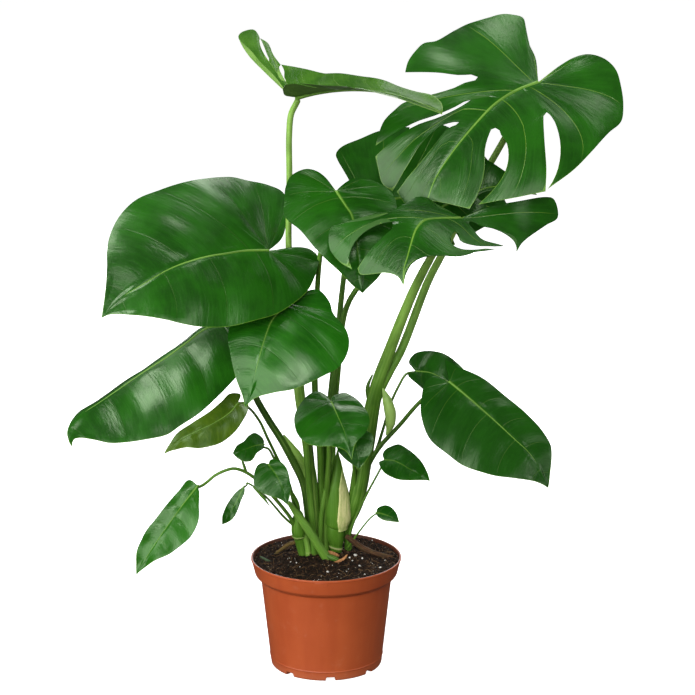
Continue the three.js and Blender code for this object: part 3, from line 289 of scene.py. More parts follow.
# A stalk's radii run along it; knots are [height, radius], marks are [height, breadth, strength].
SHEATH = dict(
  tone=0.5, tilt=0.2, ribs=0.003, marks=[[139.4, 0.7, 0.3], [116.8, 1.5, 0.85]], radii=[12, 12],
  points=[
    [12, 8, 224], [12, 11, 200], [10.2, 14, 176], [9.6, 17, 150], [8.6, 18, 140], [8, 18, 132],
    [9, 18, 120], [11, 18, 94],
  ],
  knots=[
    [224, 0.9], [212, 2.9], [200, 5.6], [192, 7.8], [182, 9.9], [171, 11.4], [160, 12.6], [152, 13.1],
    [145, 13.2], [141, 12.7], [140.2, 11.6], [139.2, 10.3], [138, 10.9], [135.5, 10.8], [130, 10.3],
    [125, 9.4], [121, 8], [118.6, 6.9], [117.6, 7.6], [115.5, 6.9], [112, 5.8], [94, 5.8],
  ],
)

MAIN_STEM = [
  dict(tone=0.05, radii=[1.2, 3.4, 3.6, 2],
    points=[[0, -9, 117.5], [5, -9.5, 114.5], [10, -10, 112], [15, -10, 109]]),
  dict(blade="blade_split_top", tone=0.8, radii=[3, 3, 3.6, 4.6, 5], points=[
    [-33, 6, 563], [-35, 4, 544], [-35, 0, 500], [-36, -4, 435], [-32, 0, 349], [-28, 4, 286],
    [-19, 8, 224], [-15, 10, 175], [-13, 12, 140], [-12, 13, 94]]),
  dict(blade="blade_big_left", tone=0.45, radii=[2.6, 3, 4, 4.6], points=[
    [-46, -4, 406], [-35, 12, 369], [-29, 16, 327], [-24, 17, 274], [-17, 18, 222], [-13, 19, 167],
    [-10, 20, 134], [-9, 21, 94]]),
  dict(blade="blade_middle", tone=0.55, radii=[2.4, 3, 3.6, 4], points=[
    [-35, -22, 372], [-28, -12, 336], [-24, -6, 288], [-20, 0, 235], [-17, 4, 182], [-14, 6, 139],
    [-12, 8, 94]]),
  dict(blade="blade_low_left", tone=0.15, radii=[2.8, 3.4, 4.2, 4.6], points=[
    [-84, 20, 325], [-79, 14, 305], [-72, 10, 281], [-59, 10, 256], [-45, 10, 233], [-32, 10, 208],
    [-23, 12, 187], [-18, 14, 152], [-14, 14, 94]]),
  # This piece takes the palest tone, which stands in for light shining through it: painted light
  dict(tone=1, radii=[0.8, 4.4, 5, 3],
    points=[[-43, 12, 238], [-34, 12, 224], [-24, 13, 206], [-16, 14, 176]]),
  dict(blade="blade_upper_heart", tone=0.5, radii=[2.2, 2.8, 3.6, 4.2], points=[
    [2, -22, 469], [-5, -12, 426], [-8, -5, 390], [-11, 6, 291], [-6, 12, 223], [-5, 16, 186],
    [-4, 18, 135], [-3, 18, 94]]),
  dict(blade="blade_split_back", tone=0.3, radii=[2.4, 3, 4.6, 5.2], points=[
    [30, 88, 442], [22, 78, 415], [16, 56, 375], [12, 40, 335], [6, 28, 281], [1, 26, 219],
    [-1, 26, 164], [0, 26, 94]]),
  dict(blade="blade_back_right", tone=0.4, radii=[2.4, 3, 3.6, 4], points=[
    [66, 50, 426], [34, 42, 387], [20, 38, 362], [11, 33, 290], [7, 30, 238], [5, 29, 163], [5, 28, 94]]),
  dict(blade="blade_centre", tone=0.6, radii=[1.8, 2.4, 3, 3.4], points=[
    [5, -34, 272], [4, -20, 250], [3, -6, 217], [0, 8, 170], [-1, 14, 131], [0, 14, 100]]),
  dict(blade="blade_centre_back", tone=0.4, radii=[1.4, 1.7, 2, 2], points=[
    [27, -16, 232], [28, -4, 214], [29, 6, 196], [29, 12, 178], [25, 17, 156]]),
  dict(blade="blade_split_front", tone=[0.8, 0.75, 0.45, 0.25], radii=[3.4, 8], groove=0.06,
    knots=[[460, 3.4], [394, 4.8], [329, 5.9],
    [288, 7.1], [250, 8.5], [220, 9.3], [190, 9.4], [166, 8.8], [150, 7.6], [138, 6.2], [118, 5], [94, 5]],
    points=[
    [113, -42, 448], [103, -36, 430], [87, -20, 394], [64, 0, 329], [51, 8, 288], [39, 14, 220],
    [30, 18, 166], [20, 23, 138], [12, 26, 118], [11, 26, 94]]),
  dict(blade="blade_split_right", tone=[0.8, 0.78, 0.55], radii=[3, 3.6, 4.2, 4.6], points=[
    [195, 50, 565], [181, 66, 534], [169, 71, 511], [144, 68, 468], [120, 52, 421], [103, 34, 392],
    [76, 14, 326], [64, 10, 304], [54, 9, 283], [45, 11, 250]]),
  dict(blade="blade_right", tone=0.15, radii=[1.8, 2.2, 2.8], points=[
    [110, -10, 290], [95, -4, 277], [75, 4, 251], [54, 10, 225], [43, 13, 205], [35, 16, 178]]),
  dict(blade="blade_right_back", tone=0.2, radii=[1.2, 1.4, 2], points=[
    [81, 28, 297], [75, 25, 288], [66, 22, 269], [58, 19, 242], [51, 17, 220], [39, 17, 194]]),
  dict(blade="blade_small_right", tone=0.25, radii=[1, 1.2, 1.8], points=[
    [52, -2, 200], [40, 6, 174], [26, 14, 139], [22, 16, 119]]),
  dict(blade="blade_tiny_right", tone=0.4, radii=[0.8, 0.9, 1.2],
    points=[[45, -8, 156], [35, 2, 140], [22, 16, 116]]),
  dict(tone=0.35, radii=[0.6, 2.6, 3.2, 3.2],
    points=[[-12.4, 10, 208], [-10.9, 11, 196], [-9.8, 12, 165], [-9, 13, 94]]),
  SHEATH,
  dict(tone=0.6, radii=[1, 2.4, 2.6, 2],
    points=[[9, 4, 222], [1, 5, 188], [-4, 6, 160], [-6, 8, 134], [-5, 12, 100]]),
  dict(tone=0.4, radii=[3, 4, 4.2], points=[[20, 24, 134], [22, 26, 122], [23, 26, 94]]),
  dict(tone=0.2, radii=[0.8, 2.2, 2.4], points=[[47, 8, 302], [42, 9, 288], [45, 9, 268]]),
]

LEFT_STEM = [
  dict(blade="blade_curled", tone=0.25, radii=[1.2, 1.6, 2], points=[
    [-77, -30, 278], [-66, -22, 262], [-58, -16, 242], [-49, -10, 220], [-38, -4, 193], [-29, 1, 150]]),
  dict(blade="blade_small_blunt", tone=0.3, radii=[1, 1.2, 1.4], points=[
    [-57, -26, 234], [-52, -14, 221], [-47, -9, 212]]),
  dict(blade="blade_small_heart", tone=0.3, radii=[1.2, 1.6, 2], points=[
    [-49, -34, 210], [-38, -20, 192], [-29, -8, 172], [-27, 0, 150]]),
  dict(blade="blade_hanging_left", tone=0.35, radii=[1.4, 1.6, 1.8, 2], points=[
    [-117, -40, 204], [-109, -41, 211], [-98, -40, 216], [-90, -38, 217], [-79, -34, 212],
    [-67, -28, 201], [-54, -20, 184], [-40, -8, 162], [-31, 1, 145]]),
  dict(blade="blade_hanging_drop", tone=0.3, radii=[0.9, 1.1, 1.4], points=[
    [-79, -27, 199], [-72, -26, 195], [-58, -20, 180], [-43, -9, 158], [-30, 2, 142]]),
  dict(tone=0.5, ribs=0.03, marks=[[133, 1.1, 0.65], [115, 2, 0.35]], radii=[6, 6], points=[
    [-28, 0, 162], [-28, 2, 152], [-28, 4, 138], [-28, 5, 132], [-26.6, 6, 122], [-24.8, 7, 112],
    [-24, 7, 94]],
    knots=[[164, 2.4], [158, 4.4], [152, 6.2], [145, 7.1], [139, 7.3], [135.4, 6.9], [134.2, 6.3],
      [133, 7.1], [132, 6.4], [130, 5], [125, 4.4], [118, 4], [112, 3.7], [94, 3.7]]),
  dict(tone=0.7, marks=[[115, 3, 0.5]], radii=[3, 3.3, 3, 2.8],
    points=[[-25, 4, 138], [-20.4, 5, 128], [-18.6, 5, 118], [-18, 5, 94]]),
  dict(tone=0.62, marks=[[110.5, 2.6, 0.8]], radii=[2, 3.8, 4.4, 4.7, 4.9, 4.9], points=[
    [-38, -13, 175], [-32, -10, 165], [-26, -8.5, 156], [-13, -9, 136], [1, -6, 112], [10, -4, 98]]),
  dict(radii=[0.3, 1.4, 1.6], points=[[-84, -35, 228], [-81, -34, 219], [-79, -34, 212]]),
  dict(radii=[1.6, 1.8, 0.3], points=[[-72, -26, 195], [-64, -27, 186], [-56, -28, 175]]),
]

ROOTS = [
  dict(name="root_right", finish="bark", radii=[2.6, 3, 2.6, 2.2], points=[
    [20, 8, 132], [27, 9, 126], [36, 10, 119], [47, 7, 114.5], [58, 4, 112], [68, 2, 110.5]]),
  dict(name="root_left", finish="olive_root", radii=[2, 2, 1.2], points=[
    [-31, 5, 126], [-37, 8, 123.6], [-45, 11, 117], [-53, 13, 110]]),
  dict(name="root_green", finish="olive_root", radii=[1.2, 1.6, 1], points=[
    [-68, 8, 109], [-63, -2, 110], [-56, -8, 109]]),
]

YOUNG_LEAF = dict(radii=[0.6, 4.8, 5.9, 5, 1], points=[
  [57, -1, 290], [62, -3, 276], [65, -4, 262], [64, -4, 250], [61, -4, 242]])

HUSKS = [
  dict(name="husk_beige", points=[[-1, -3, 118], [4, -2, 116.6], [9, -2, 114.6], [13, -1, 112.6]],
    width=4.8, curl=0.9, lean=[0.2, -0.6, 1]),
  dict(name="husk_orange", points=[[7, -17, 111.8], [12, -17, 112.6], [17, -15.4, 114.4],
    [20.4, -13, 116.8], [22, -10, 118.2]],
    width=3.2, curl=-1.2, lean=[0.3, -1, 0.5]),
]

# [x, y, size] of the perlite that shows
PERLITE_BITS = [
  [-36, -13, 2.0], [-30, -17, 2.0], [2, -45, 2.6], [21, 32, 2.8], [30, 3.5, 3.4], [37, -3, 2.7],
  [17, -10, 2.3], [24, -6, 2.2], [34, -24, 2.5], [55, -27, 2.7], [60, -7, 1.8], [48, 57, 2.0],
  [21, -41, 1.8], [27, -12, 1.5], [39, -51, 1.7],
]

# [x, y, radius] of the stems' feet, which crumbs lie round
STEM_FEET = (
  (-28, 7, 6), (-21, 5, 5), (9, 18, 10), (4, -6, 7), (-14, 10, 8), (0, 22, 9), (20, 22, 6),
)

# ------------------------------------------------------------------ pot and potting mix
RIM_RADIUS = 76.8
RIM_FOOT_RADIUS = 72.8
RIM_BAND = 18.5
BODY_RADIUS = 67.2
FOOT_RADIUS = 57
POT_HEIGHT = 113
WALL = 1.8
FLOOR_LIFT = 3
PAD_RADIUS = 22
RING_HEIGHT = 9.5
FOOT_WIDTH = 6
NOTCHES = 8
NOTCH_TURN = 5
NOTCH_WIDTH = 10
NOTCH_HEIGHT = 4
DRAIN_RADIUS = 4
DRAIN_CIRCLE = 38
SOIL_EDGE = 107.5
SOIL_MOUND = 4.5

# ------------------------------------------------------------------ how the blades are made
# The half width of the rounded valley along a midrib, and the blade's thickness
VALLEY = 6
BLADE = 0.7
# A blade's cell size, its rows of cells out from the midrib, and the usual length of such a blade
LARGE_GRID = (2.4, 20, 150)
SMALL_GRID = (1.3, 13, 90)
# The most that a blade swells between its veins, and how much of that its tip finger keeps
MOST_SWELL = 1.9
TIP_CALM = 0.3


# ------------------------------------------------------------------ curves and meshes
def curve_through(points, steps=16):
    """A dense run of points on a centripetal Catmull-Rom curve."""
    p = np.asarray(points, float)
    p = np.vstack([2 * p[0] - p[1], p, 2 * p[-1] - p[-2]])
    gaps = np.sqrt(np.maximum(np.linalg.norm(np.diff(p, axis=0), axis=1), 1e-6))
    s = np.linspace(0, 1, steps, endpoint=False)[:, None]
    runs = []
    for i in range(1, len(p) - 2):
        g0, g1, g2 = gaps[i - 1 : i + 2]
        leave = ((p[i] - p[i - 1]) / g0 - (p[i + 1] - p[i - 1]) / (g0 + g1) + (p[i + 1] - p[i]) / g1) * g1
        arrive = ((p[i + 1] - p[i]) / g1 - (p[i + 2] - p[i]) / (g1 + g2) + (p[i + 2] - p[i + 1]) / g2) * g1
        square = -3 * p[i] + 3 * p[i + 1] - 2 * leave - arrive
        cube = 2 * p[i] - 2 * p[i + 1] + leave + arrive
        runs.append(p[i] + leave * s + square * s**2 + cube * s**3)
    return np.vstack([*runs, p[-2:-1]])


def run_of(curve):
    """Distance along a curve at each of its points."""
    return np.concatenate([[0], np.cumsum(np.linalg.norm(np.diff(curve, axis=0), axis=1))])


def points_along(curve, fractions):
    """The points at these fractions of a curve's length."""
    run = run_of(curve)
    at = np.asarray(fractions) * run[-1]
    return np.column_stack([np.interp(at, run, curve[:, k]) for k in range(curve.shape[1])])


def unit(v):
    return v / np.maximum(np.linalg.norm(v, axis=-1, keepdims=True), 1e-12)


def smooth(x):
    """0 below 0 to 1 above 1, smoothly."""
    x = np.clip(x, 0, 1)
    return x * x * (3 - 2 * x)


class Shape:
    """Points and faces of one piece, with named values at each face corner."""

    def __init__(self, *names):
        self.points, self.faces, self.names = [], [], names
        self.corners = {name: [] for name in names}
        self.count = 0

    def add(self, points, faces, sources=None, **values):
        """faces is a list of index arrays (n, 3) or (n, 4); values[name] holds rows of three.
        A corner takes the row of its own point, or the one that sources gives it."""
        self.points.append(np.asarray(points, float))
        for block, source in zip(faces, sources or faces):
            if len(block):
                self.faces.append(np.asarray(block, int) + self.count)
                for name in self.names:
                    rows = np.asarray(values[name], float)[np.asarray(source, int)]
                    self.corners[name].append(rows.reshape(-1, 3))
        self.count += len(points)

    def add_grid(self, place, wrap=False, turned=False, **values):
        """A grid of points (rows, columns, 3) with its quads, turned over where asked."""
        faces = grid_faces(*place.shape[:2], wrap=wrap)
        self.add(place.reshape(-1, 3), [faces[:, ::-1] if turned else faces], **values)

    def build(self, name, material, slot, replaces=()):
        """Make the piece of this shape, on root, and hide the nodes it replaces; slot is not used."""
        mesh = bpy.data.meshes.new(name)
        rows = [row for block in self.faces for row in block.tolist()]
        mesh.from_pydata((np.vstack(self.points) * MM).tolist(), [], rows)
        for key in self.names:
            layer = mesh.attributes.new(key, "FLOAT_VECTOR", "CORNER")
            layer.data.foreach_set("vector", np.vstack(self.corners[key]).astype(np.float32).ravel())
        mesh.polygons.foreach_set("use_smooth", [True] * len(mesh.polygons))
        mesh.materials.append(material)
        piece = bpy.data.objects.new(name, mesh)
        bpy.context.scene.collection.objects.link(piece)
        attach(piece, "root")
        if replaces:
            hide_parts(*replaces)
        return piece


def grid_faces(rows, columns, wrap=False):
    """Quads of a grid of points, row by row. With wrap the last column joins the first."""
    wide = columns if wrap else columns - 1
    i, j = np.meshgrid(np.arange(rows - 1), np.arange(wide), indexing="ij")
    here, beside = i * columns + j, i * columns + (j + 1) % columns
    return np.stack([here, beside, beside + columns, here + columns], -1).reshape(-1, 4)


def neighbours(grid):
    """The sum of the four points around each inner point of a grid."""
    return grid[2:, 1:-1] + grid[:-2, 1:-1] + grid[1:-1, 2:] + grid[1:-1, :-2]


# ------------------------------------------------------------------ blades
class Blade:
    """A leaf blade over its plane, which runs from its base to its tip."""

    def __init__(self, leaf):
        self.leaf = leaf
        self.base = np.array(leaf["base"], float)
        along = np.array(leaf["tip"], float) - self.base
        self.length = float(np.linalg.norm(along))
        self.along = along / self.length
        face = np.array(leaf["face"], float)
        self.face = unit(face - face @ self.along * self.along)
        self.across = np.cross(self.face, self.along)
        self.rib = curve_through([[0, 0], *leaf["rib"], [self.length, 0]])

    def offset(self, a, w):
        """Distance across from the midrib, plus to the left."""
        return w - np.interp(a, self.rib[:, 0], self.rib[:, 1], left=0, right=0)

    def height(self, a, w):
        leaf = self.leaf
        t = a / self.length
        rise = 4 * leaf["arch"] * t
        arch = np.where(t >= 0, rise * (1 - t), rise / (1 - 2 * np.minimum(t, 0)))
        across = self.offset(a, w)
        left = across >= 0
        out = np.abs(across)
        fold = np.where(left, *leaf["fold"]) * (np.hypot(out, VALLEY) - VALLEY)
        droop = np.where(left, *leaf["droop"]) * (out / np.where(left, *leaf["reach"])) ** 2
        curl = np.where(left, *leaf.get("curl", (0, 0))) * (np.hypot(np.maximum(0, -a), VALLEY) - VALLEY)
        return arch + fold - droop + curl

    def place(self, a, w, lift=0.0):
        a, w = np.asarray(a, float), np.asarray(w, float)
        h = self.height(a, w) + lift
        return self.base + a[..., None] * self.along + w[..., None] * self.across + h[..., None] * self.face


def half_strips(lobes, slots, rib_points, cell, rows, veins):
    """One half of a blade as (grid of [along, across], vein number, distance out 0 to 1) strips."""
    cells = len(rib_points) - 1
    level = np.linspace(0, 1, rows + 1) ** 1.25
    strips, number = [], 0.5

    def slot_edge(slot, side):
        origin = rib_points[round(slot["at"] * cells)]
        root = np.array(slot["root"], float)
        other = "after" if side == "before" else "before"
        near, far = (np.array(slot[s][0], float) - root for s in (side, other))
        axis = unit(near + far)
        aside = near - near @ axis * axis
        rounding = []
        if np.linalg.norm(aside) > 0.8 and near @ axis > 1:
            rounding = [root + 0.16 * (near @ axis) * axis + 0.62 * aside]
        outer = curve_through([slot["root"], *rounding, *slot[side]])
        inner = np.linalg.norm(root - origin)
        out = np.linalg.norm(root - (np.array(slot["before"][-1]) + np.array(slot["after"][-1])) / 2)
        split = int(np.clip(np.argmin(np.abs(level - inner / (inner + out))), 1, rows - 2))
        edge = origin + (root - origin) * (level[:, None] / level[split])
        edge[split:] = points_along(outer, (level[split:] - level[split]) / (1 - level[split]))
        return edge, outer

    edges = []
    for k, margin in enumerate(lobes):
        first = 0 if k == 0 else round(slots[k - 1]["at"] * cells)
        last = cells if k == len(slots) else round(slots[k]["at"] * cells)
        lead = np.repeat(rib_points[:1], rows + 1, axis=0)
        trail = np.repeat(rib_points[-1:], rows + 1, axis=0)
        if k > 0:
            lead, cut = slot_edge(slots[k - 1], "after")
            edges.append(cut)
        if k < len(slots):
            trail, cut = slot_edge(slots[k], "before")
            edges.append(cut)
        curve = curve_through([lead[-1], *margin, trail[-1]])
        edges.append(curve)
        wanted = max(2, round(run_of(curve)[-1] / cell))
        span = last - first
        per_cell = 1 if span == 0 else max(1, round(wanted * (0.6 if k == 0 else 1) / span))
        fan = max(2, wanted - per_cell * span) if k == 0 or span == 0 else 0
        columns = fan + per_cell * span
        j = np.arange(columns + 1)
        v = j / columns
        passed = (np.maximum(0, j - fan) + per_cell / 2) // per_cell
        middle = rib_points[np.minimum(last, first + passed.astype(int))]
        outside = points_along(curve, v)
        vv, uu = v[None, :, None], level[:, None, None]
        grid = lead[:, None] * (1 - vv) + trail[:, None] * vv
        grid = grid + (1 - uu) * (middle[None] - lead[0] * (1 - vv) - trail[0] * vv)
        grid = grid + uu * (outside[None] - lead[-1] * (1 - vv) - trail[-1] * vv)
        if slots:
            grid = relaxed(grid)
        count = veins[min(k, len(veins) - 1)]
        bow = 0.09 * np.sin(math.pi * v)[None] * (level * (1 - level))[:, None] * (1 if k == 0 else 0.4)
        where = v[None] + bow
        start = fan / columns
        if k == 0 and 0 < start < 1:
            basal = min(count - 0.5, round(count * start) + 0.2)
            numbers = number + np.interp(where, [0, start, 1], [0, basal, count])
        else:
            numbers = number + count * where
        if slots:
            numbers = even_veins(grid, level, v, numbers, number, count)
        number += count
        calm = TIP_CALM if slots and k == len(slots) else 1
        levels = np.broadcast_to(level[:, None], numbers.shape)
        strips.append((grid, numbers, levels, np.full(numbers.shape, calm)))
    return strips, edges


def folded(grid):
    """How many cells of a grid are turned over."""
    turns = []
    beside, above = grid[:-1, 1:], grid[1:, :-1]
    for a, b, c in ((grid[:-1, :-1], above, beside), (grid[1:, 1:], beside, above)):
        turns.append((b - a)[..., 0] * (c - a)[..., 1] - (b - a)[..., 1] * (c - a)[..., 0])
    return np.sum(np.minimum(*(np.array(turns) * np.sign(np.median(turns[0])))) < -0.01)


def relaxed(grid):
    """The grid evened out inside its edges, as far as that leaves the fewest cells turned over."""
    best, fewest = grid, folded(grid)
    for _ in range(24):
        grid = grid.copy()
        for _ in range(5):
            grid[1:-1, 1:-1] = neighbours(grid) / 4
        if folded(grid) < fewest:
            best, fewest = grid, folded(grid)
    return best


def even_veins(grid, level, v, numbers, first, count):
    """The vein numbers of one strip, shifted so that each vein runs out in one smooth curve."""
    whole = np.arange(math.ceil(first), math.ceil(first + count))
    basis = np.column_stack([level * (1 - level), level**2 * (1 - level)])
    ats = []
    for vein in whole:
        at = np.array([np.interp(vein, row, v) for row in numbers])
        run = np.array([[np.interp(x, v, row[:, k]) for k in (0, 1)] for x, row in zip(at, grid)])
        chord = run[:1] * (1 - level[:, None]) + run[-1:] * level[:, None]
        bend = np.linalg.lstsq(basis, run - chord, rcond=None)[0]
        wanted = chord + basis @ bend
        ats.append([nearest_on(row, v, p) for row, p in zip(grid, wanted)])
    ats = np.clip(np.array(ats).T, 0.06 / count, 1 - 0.06 / count)
    ats[0] = [np.interp(vein, numbers[0], v) for vein in whole]
    knots = np.column_stack([np.zeros(len(level)), np.maximum.accumulate(ats, axis=1), np.ones(len(level))])
    marks = [first, *whole, first + count]
    return np.array([np.interp(v, row, marks) for row in knots])


def nearest_on(row, v, point):
    """Where along a row of points the nearest place to a point lies."""
    step = np.diff(row, axis=0)
    share = np.clip(((point - row[:-1]) * step).sum(1) / np.maximum((step**2).sum(1), 1e-9), 0, 1)
    gap = np.linalg.norm(row[:-1] + share[:, None] * step - point, axis=1)
    k = int(np.argmin(gap))
    return v[k] + share[k] * (v[k + 1] - v[k])


def vein_pitch(grid, numbers):
    """Distance in millimetres from one vein to the next, at each point of a strip."""
    du, dv = np.gradient(grid, axis=0), np.gradient(grid, axis=1)
    nu, nv = np.gradient(numbers, axis=0), np.gradient(numbers, axis=1)
    det = du[..., 0] * dv[..., 1] - du[..., 1] * dv[..., 0]
    det = np.where(np.abs(det) < 1e-6, 1e-6, det)
    slope = np.hypot(nu * dv[..., 1] - nv * du[..., 1], nv * du[..., 0] - nu * dv[..., 0]) / np.abs(det)
    pitch = 1 / np.clip(slope, 1 / 60, 4)
    for _ in range(14):
        pitch = np.pad(pitch, 1, mode="edge")
        pitch = (neighbours(pitch) + 2 * pitch[1:-1, 1:-1]) / 6
    return pitch


def even_out(lift, shapes, passes):
    """Soften the heights of each strip, all but its two sides and the midrib."""
    start = 0
    for rows, columns in shapes:
        field = lift[start : start + rows * columns].reshape(rows, columns)
        for _ in range(passes):
            wide = np.vstack([field, field[-1:]])
            field[1:, 1:-1] = (neighbours(wide) + 2 * wide[1:-1, 1:-1]) / 6
        start += rows * columns


def edge_distance(flat, margins):
    """How far each point of a blade's plane lies from the blade's edge."""
    runs = [points_along(curve, np.linspace(0, 1, len(curve) * 3)) for curve in margins]
    tree = KDTree(sum(map(len, runs)))
    for k, (a, w) in enumerate(np.vstack(runs)):
        tree.insert((a, w, 0), k)
    tree.balance()
    return np.array([tree.find((a, w, 0))[2] for a, w in flat])


def welded(flat, quads):
    """The point that stands for each place, and the quads and triangles between such points.
    Each block of faces is (faces of welded points, the same faces of the strips' own points)."""
    key = np.round(flat * 1e4 + 0.317).astype(np.int64)
    _, source, target = np.unique(key, axis=0, return_index=True, return_inverse=True)
    merged = target.ravel()[quads]
    same = merged == np.roll(merged, -1, axis=1)
    whole, pinched = same.sum(1) == 0, same.sum(1) == 1
    keep = ~same[pinched]
    triangles = [faces[pinched][keep].reshape(-1, 3) for faces in (merged, quads)]
    return source, [(merged[whole], quads[whole]), triangles]


def sheet_normals(sheet, quads, triangles):
    corners = np.vstack([quads[:, [0, 1, 2]], quads[:, [0, 2, 3]], triangles])
    a, b, c = (sheet[corners[:, i]] for i in range(3))
    facing = np.cross(b - a, c - a)
    normals = np.zeros_like(sheet)
    for i in range(3):
        np.add.at(normals, corners[:, i], facing)
    return unit(normals)


def open_edges(blocks):
    """The edges that only one face has, as pairs of points."""
    edges = dict.fromkeys(
        (int(p), int(q))
        for faces, _ in blocks
        for i in range(faces.shape[1])
        for p, q in zip(faces[:, i], faces[:, (i + 1) % faces.shape[1]])
    )
    return np.array([edge for edge in edges if edge[::-1] not in edges])


def blade_shape(leaf, blade):
    """The blade's two faces and its rim, with its veins, quilting and waves."""
    large = leaf["large"]
    cell, rows, usual_length = LARGE_GRID if large else SMALL_GRID
    size = blade.length / usual_length
    cells = max(8, round(run_of(blade.rib)[-1] / cell))
    rib_points = points_along(blade.rib, np.linspace(0, 1, cells + 1))
    veins = leaf.get("veins", ([7], [7]) if large else ([5], [5]))
    strips, quads, margins, count = [], [], [], 0
    for side, counts in zip(("left", "right"), veins):
        made, edges = half_strips(leaf[side], leaf[side + "_slots"], rib_points, cell, rows, counts)
        strips += made
        margins += edges
        for grid, *_ in made:
            faces = grid_faces(*grid.shape[:2])
            quads.append((faces if side == "left" else faces[:, ::-1]) + count)
            count += grid.shape[0] * grid.shape[1]
    split = bool(leaf["left_slots"] or leaf["right_slots"])
    grids = [grid for grid, *_ in strips]
    flat, quads = np.vstack([grid.reshape(-1, 2) for grid in grids]), np.vstack(quads)
    number, level, calm = (np.concatenate([strip[k].ravel() for strip in strips]) for k in (1, 2, 3))
    pitch = np.concatenate([vein_pitch(grid, own).ravel() for grid, own, *_ in strips])
    edge = edge_distance(flat, margins)

    a, w = flat.T
    t = a / blade.length
    out = np.abs(blade.offset(a, w))
    rib_width = (0.55 + 1.5 * (1 - np.clip(t, 0, 1)) ** 1.3) * (0.9 if large else 0.5)
    vein_width = (0.44 - 0.24 * level) * (1 if large else 0.55)
    seed = sum(map(ord, leaf["name"]))
    swell = leaf["swell"] * calm * np.clip(0.06 * pitch, 0, MOST_SWELL)
    swell = swell * smooth(level / 0.25) * (1 - 0.6 * smooth((level - 0.72) / 0.28))
    lift = swell * ((0.5 - 0.5 * np.cos(2 * math.pi * number)) ** 0.6 - 1)
    wave = np.sin(1.9 * number + seed) + 0.5 * np.sin(4.3 * number + 2 * seed)
    lift += 0.7 * size * level**3 * wave * smooth((1.0 - t) * 5) * smooth(pitch / 8)
    even_out(lift, [grid.shape[:2] for grid in grids], 9 if split else 2)
    lift -= 0.55 * size * np.exp(-((out / (1.9 * rib_width)) ** 2)) * smooth((1 - t) * 4)
    lift -= 2.5 * size * smooth((t - 0.95) / 0.08) ** 2
    place = blade.place(a, w, lift)

    source, blocks = welded(flat, quads)
    sheet = place[source]
    normals = sheet_normals(sheet, blocks[0][0], blocks[1][0])
    thin = (BLADE / 2 * (0.55 + 0.45 * smooth(edge / 2.5)))[source]
    # high grows from the blade's lowest points to its highest; added to the edge distance, it keeps the pale
    # margin line off the upper edges, so the line is a painted highlight along the lower edges
    high = smooth((place[:, 2] - place[:, 2].min()) / np.ptp(place[:, 2]) * 1.6 - 0.3)
    corner = {
        "veins": np.column_stack([number + seed % 37, pitch / (vein_width * calm), level]),
        "place": np.column_stack([out / rib_width, t * (0.25 if split else 1), edge + 3 * high]),
    }

    def tint(below, points):
        return np.tile([below, leaf["tone"], leaf["vein"]], (points, 1))

    shape = Shape("veins", "place", "tint")
    top, low = sheet + normals * thin[:, None], sheet + normals * -thin[:, None]
    for face, below, order in ((top, 0.0, 1), (low, 1.0, -1)):
        faces, sources = ([block[k][:, ::order] for block in blocks] for k in (0, 1))
        shape.add(face, faces, sources, tint=tint(below, len(flat)), **corner)
    rim = open_edges(blocks)
    start, end = rim.T
    strip = np.vstack([top[start], top[end], low[end], low[start]])
    start, end = source[rim].T
    ring = {name: np.vstack([v[start], v[end], v[end], v[start]]) for name, v in corner.items()}
    n, index = len(rim), np.arange(len(rim))
    faces = np.column_stack([index, index + 3 * n, index + 2 * n, index + n])
    shape.add(strip, [faces], tint=tint(0.5, 4 * n), **ring)
    return shape


# ------------------------------------------------------------------ stalks
def transported(path):
    """Tangents, sideways and upward directions along a path, turned as little as possible."""
    tangent = unit(np.gradient(path, axis=0))
    side = np.cross(tangent[0], [0.0, -1.0, 0.25])
    if np.linalg.norm(side) < 0.2:
        side = np.cross(tangent[0], [1.0, 0, 0])
    sides = [unit(side)]
    for t in tangent[1:]:
        s = sides[-1] - sides[-1] @ t * t
        sides.append(unit(s))
    sides = np.array(sides)
    return tangent, sides, np.cross(tangent, sides)


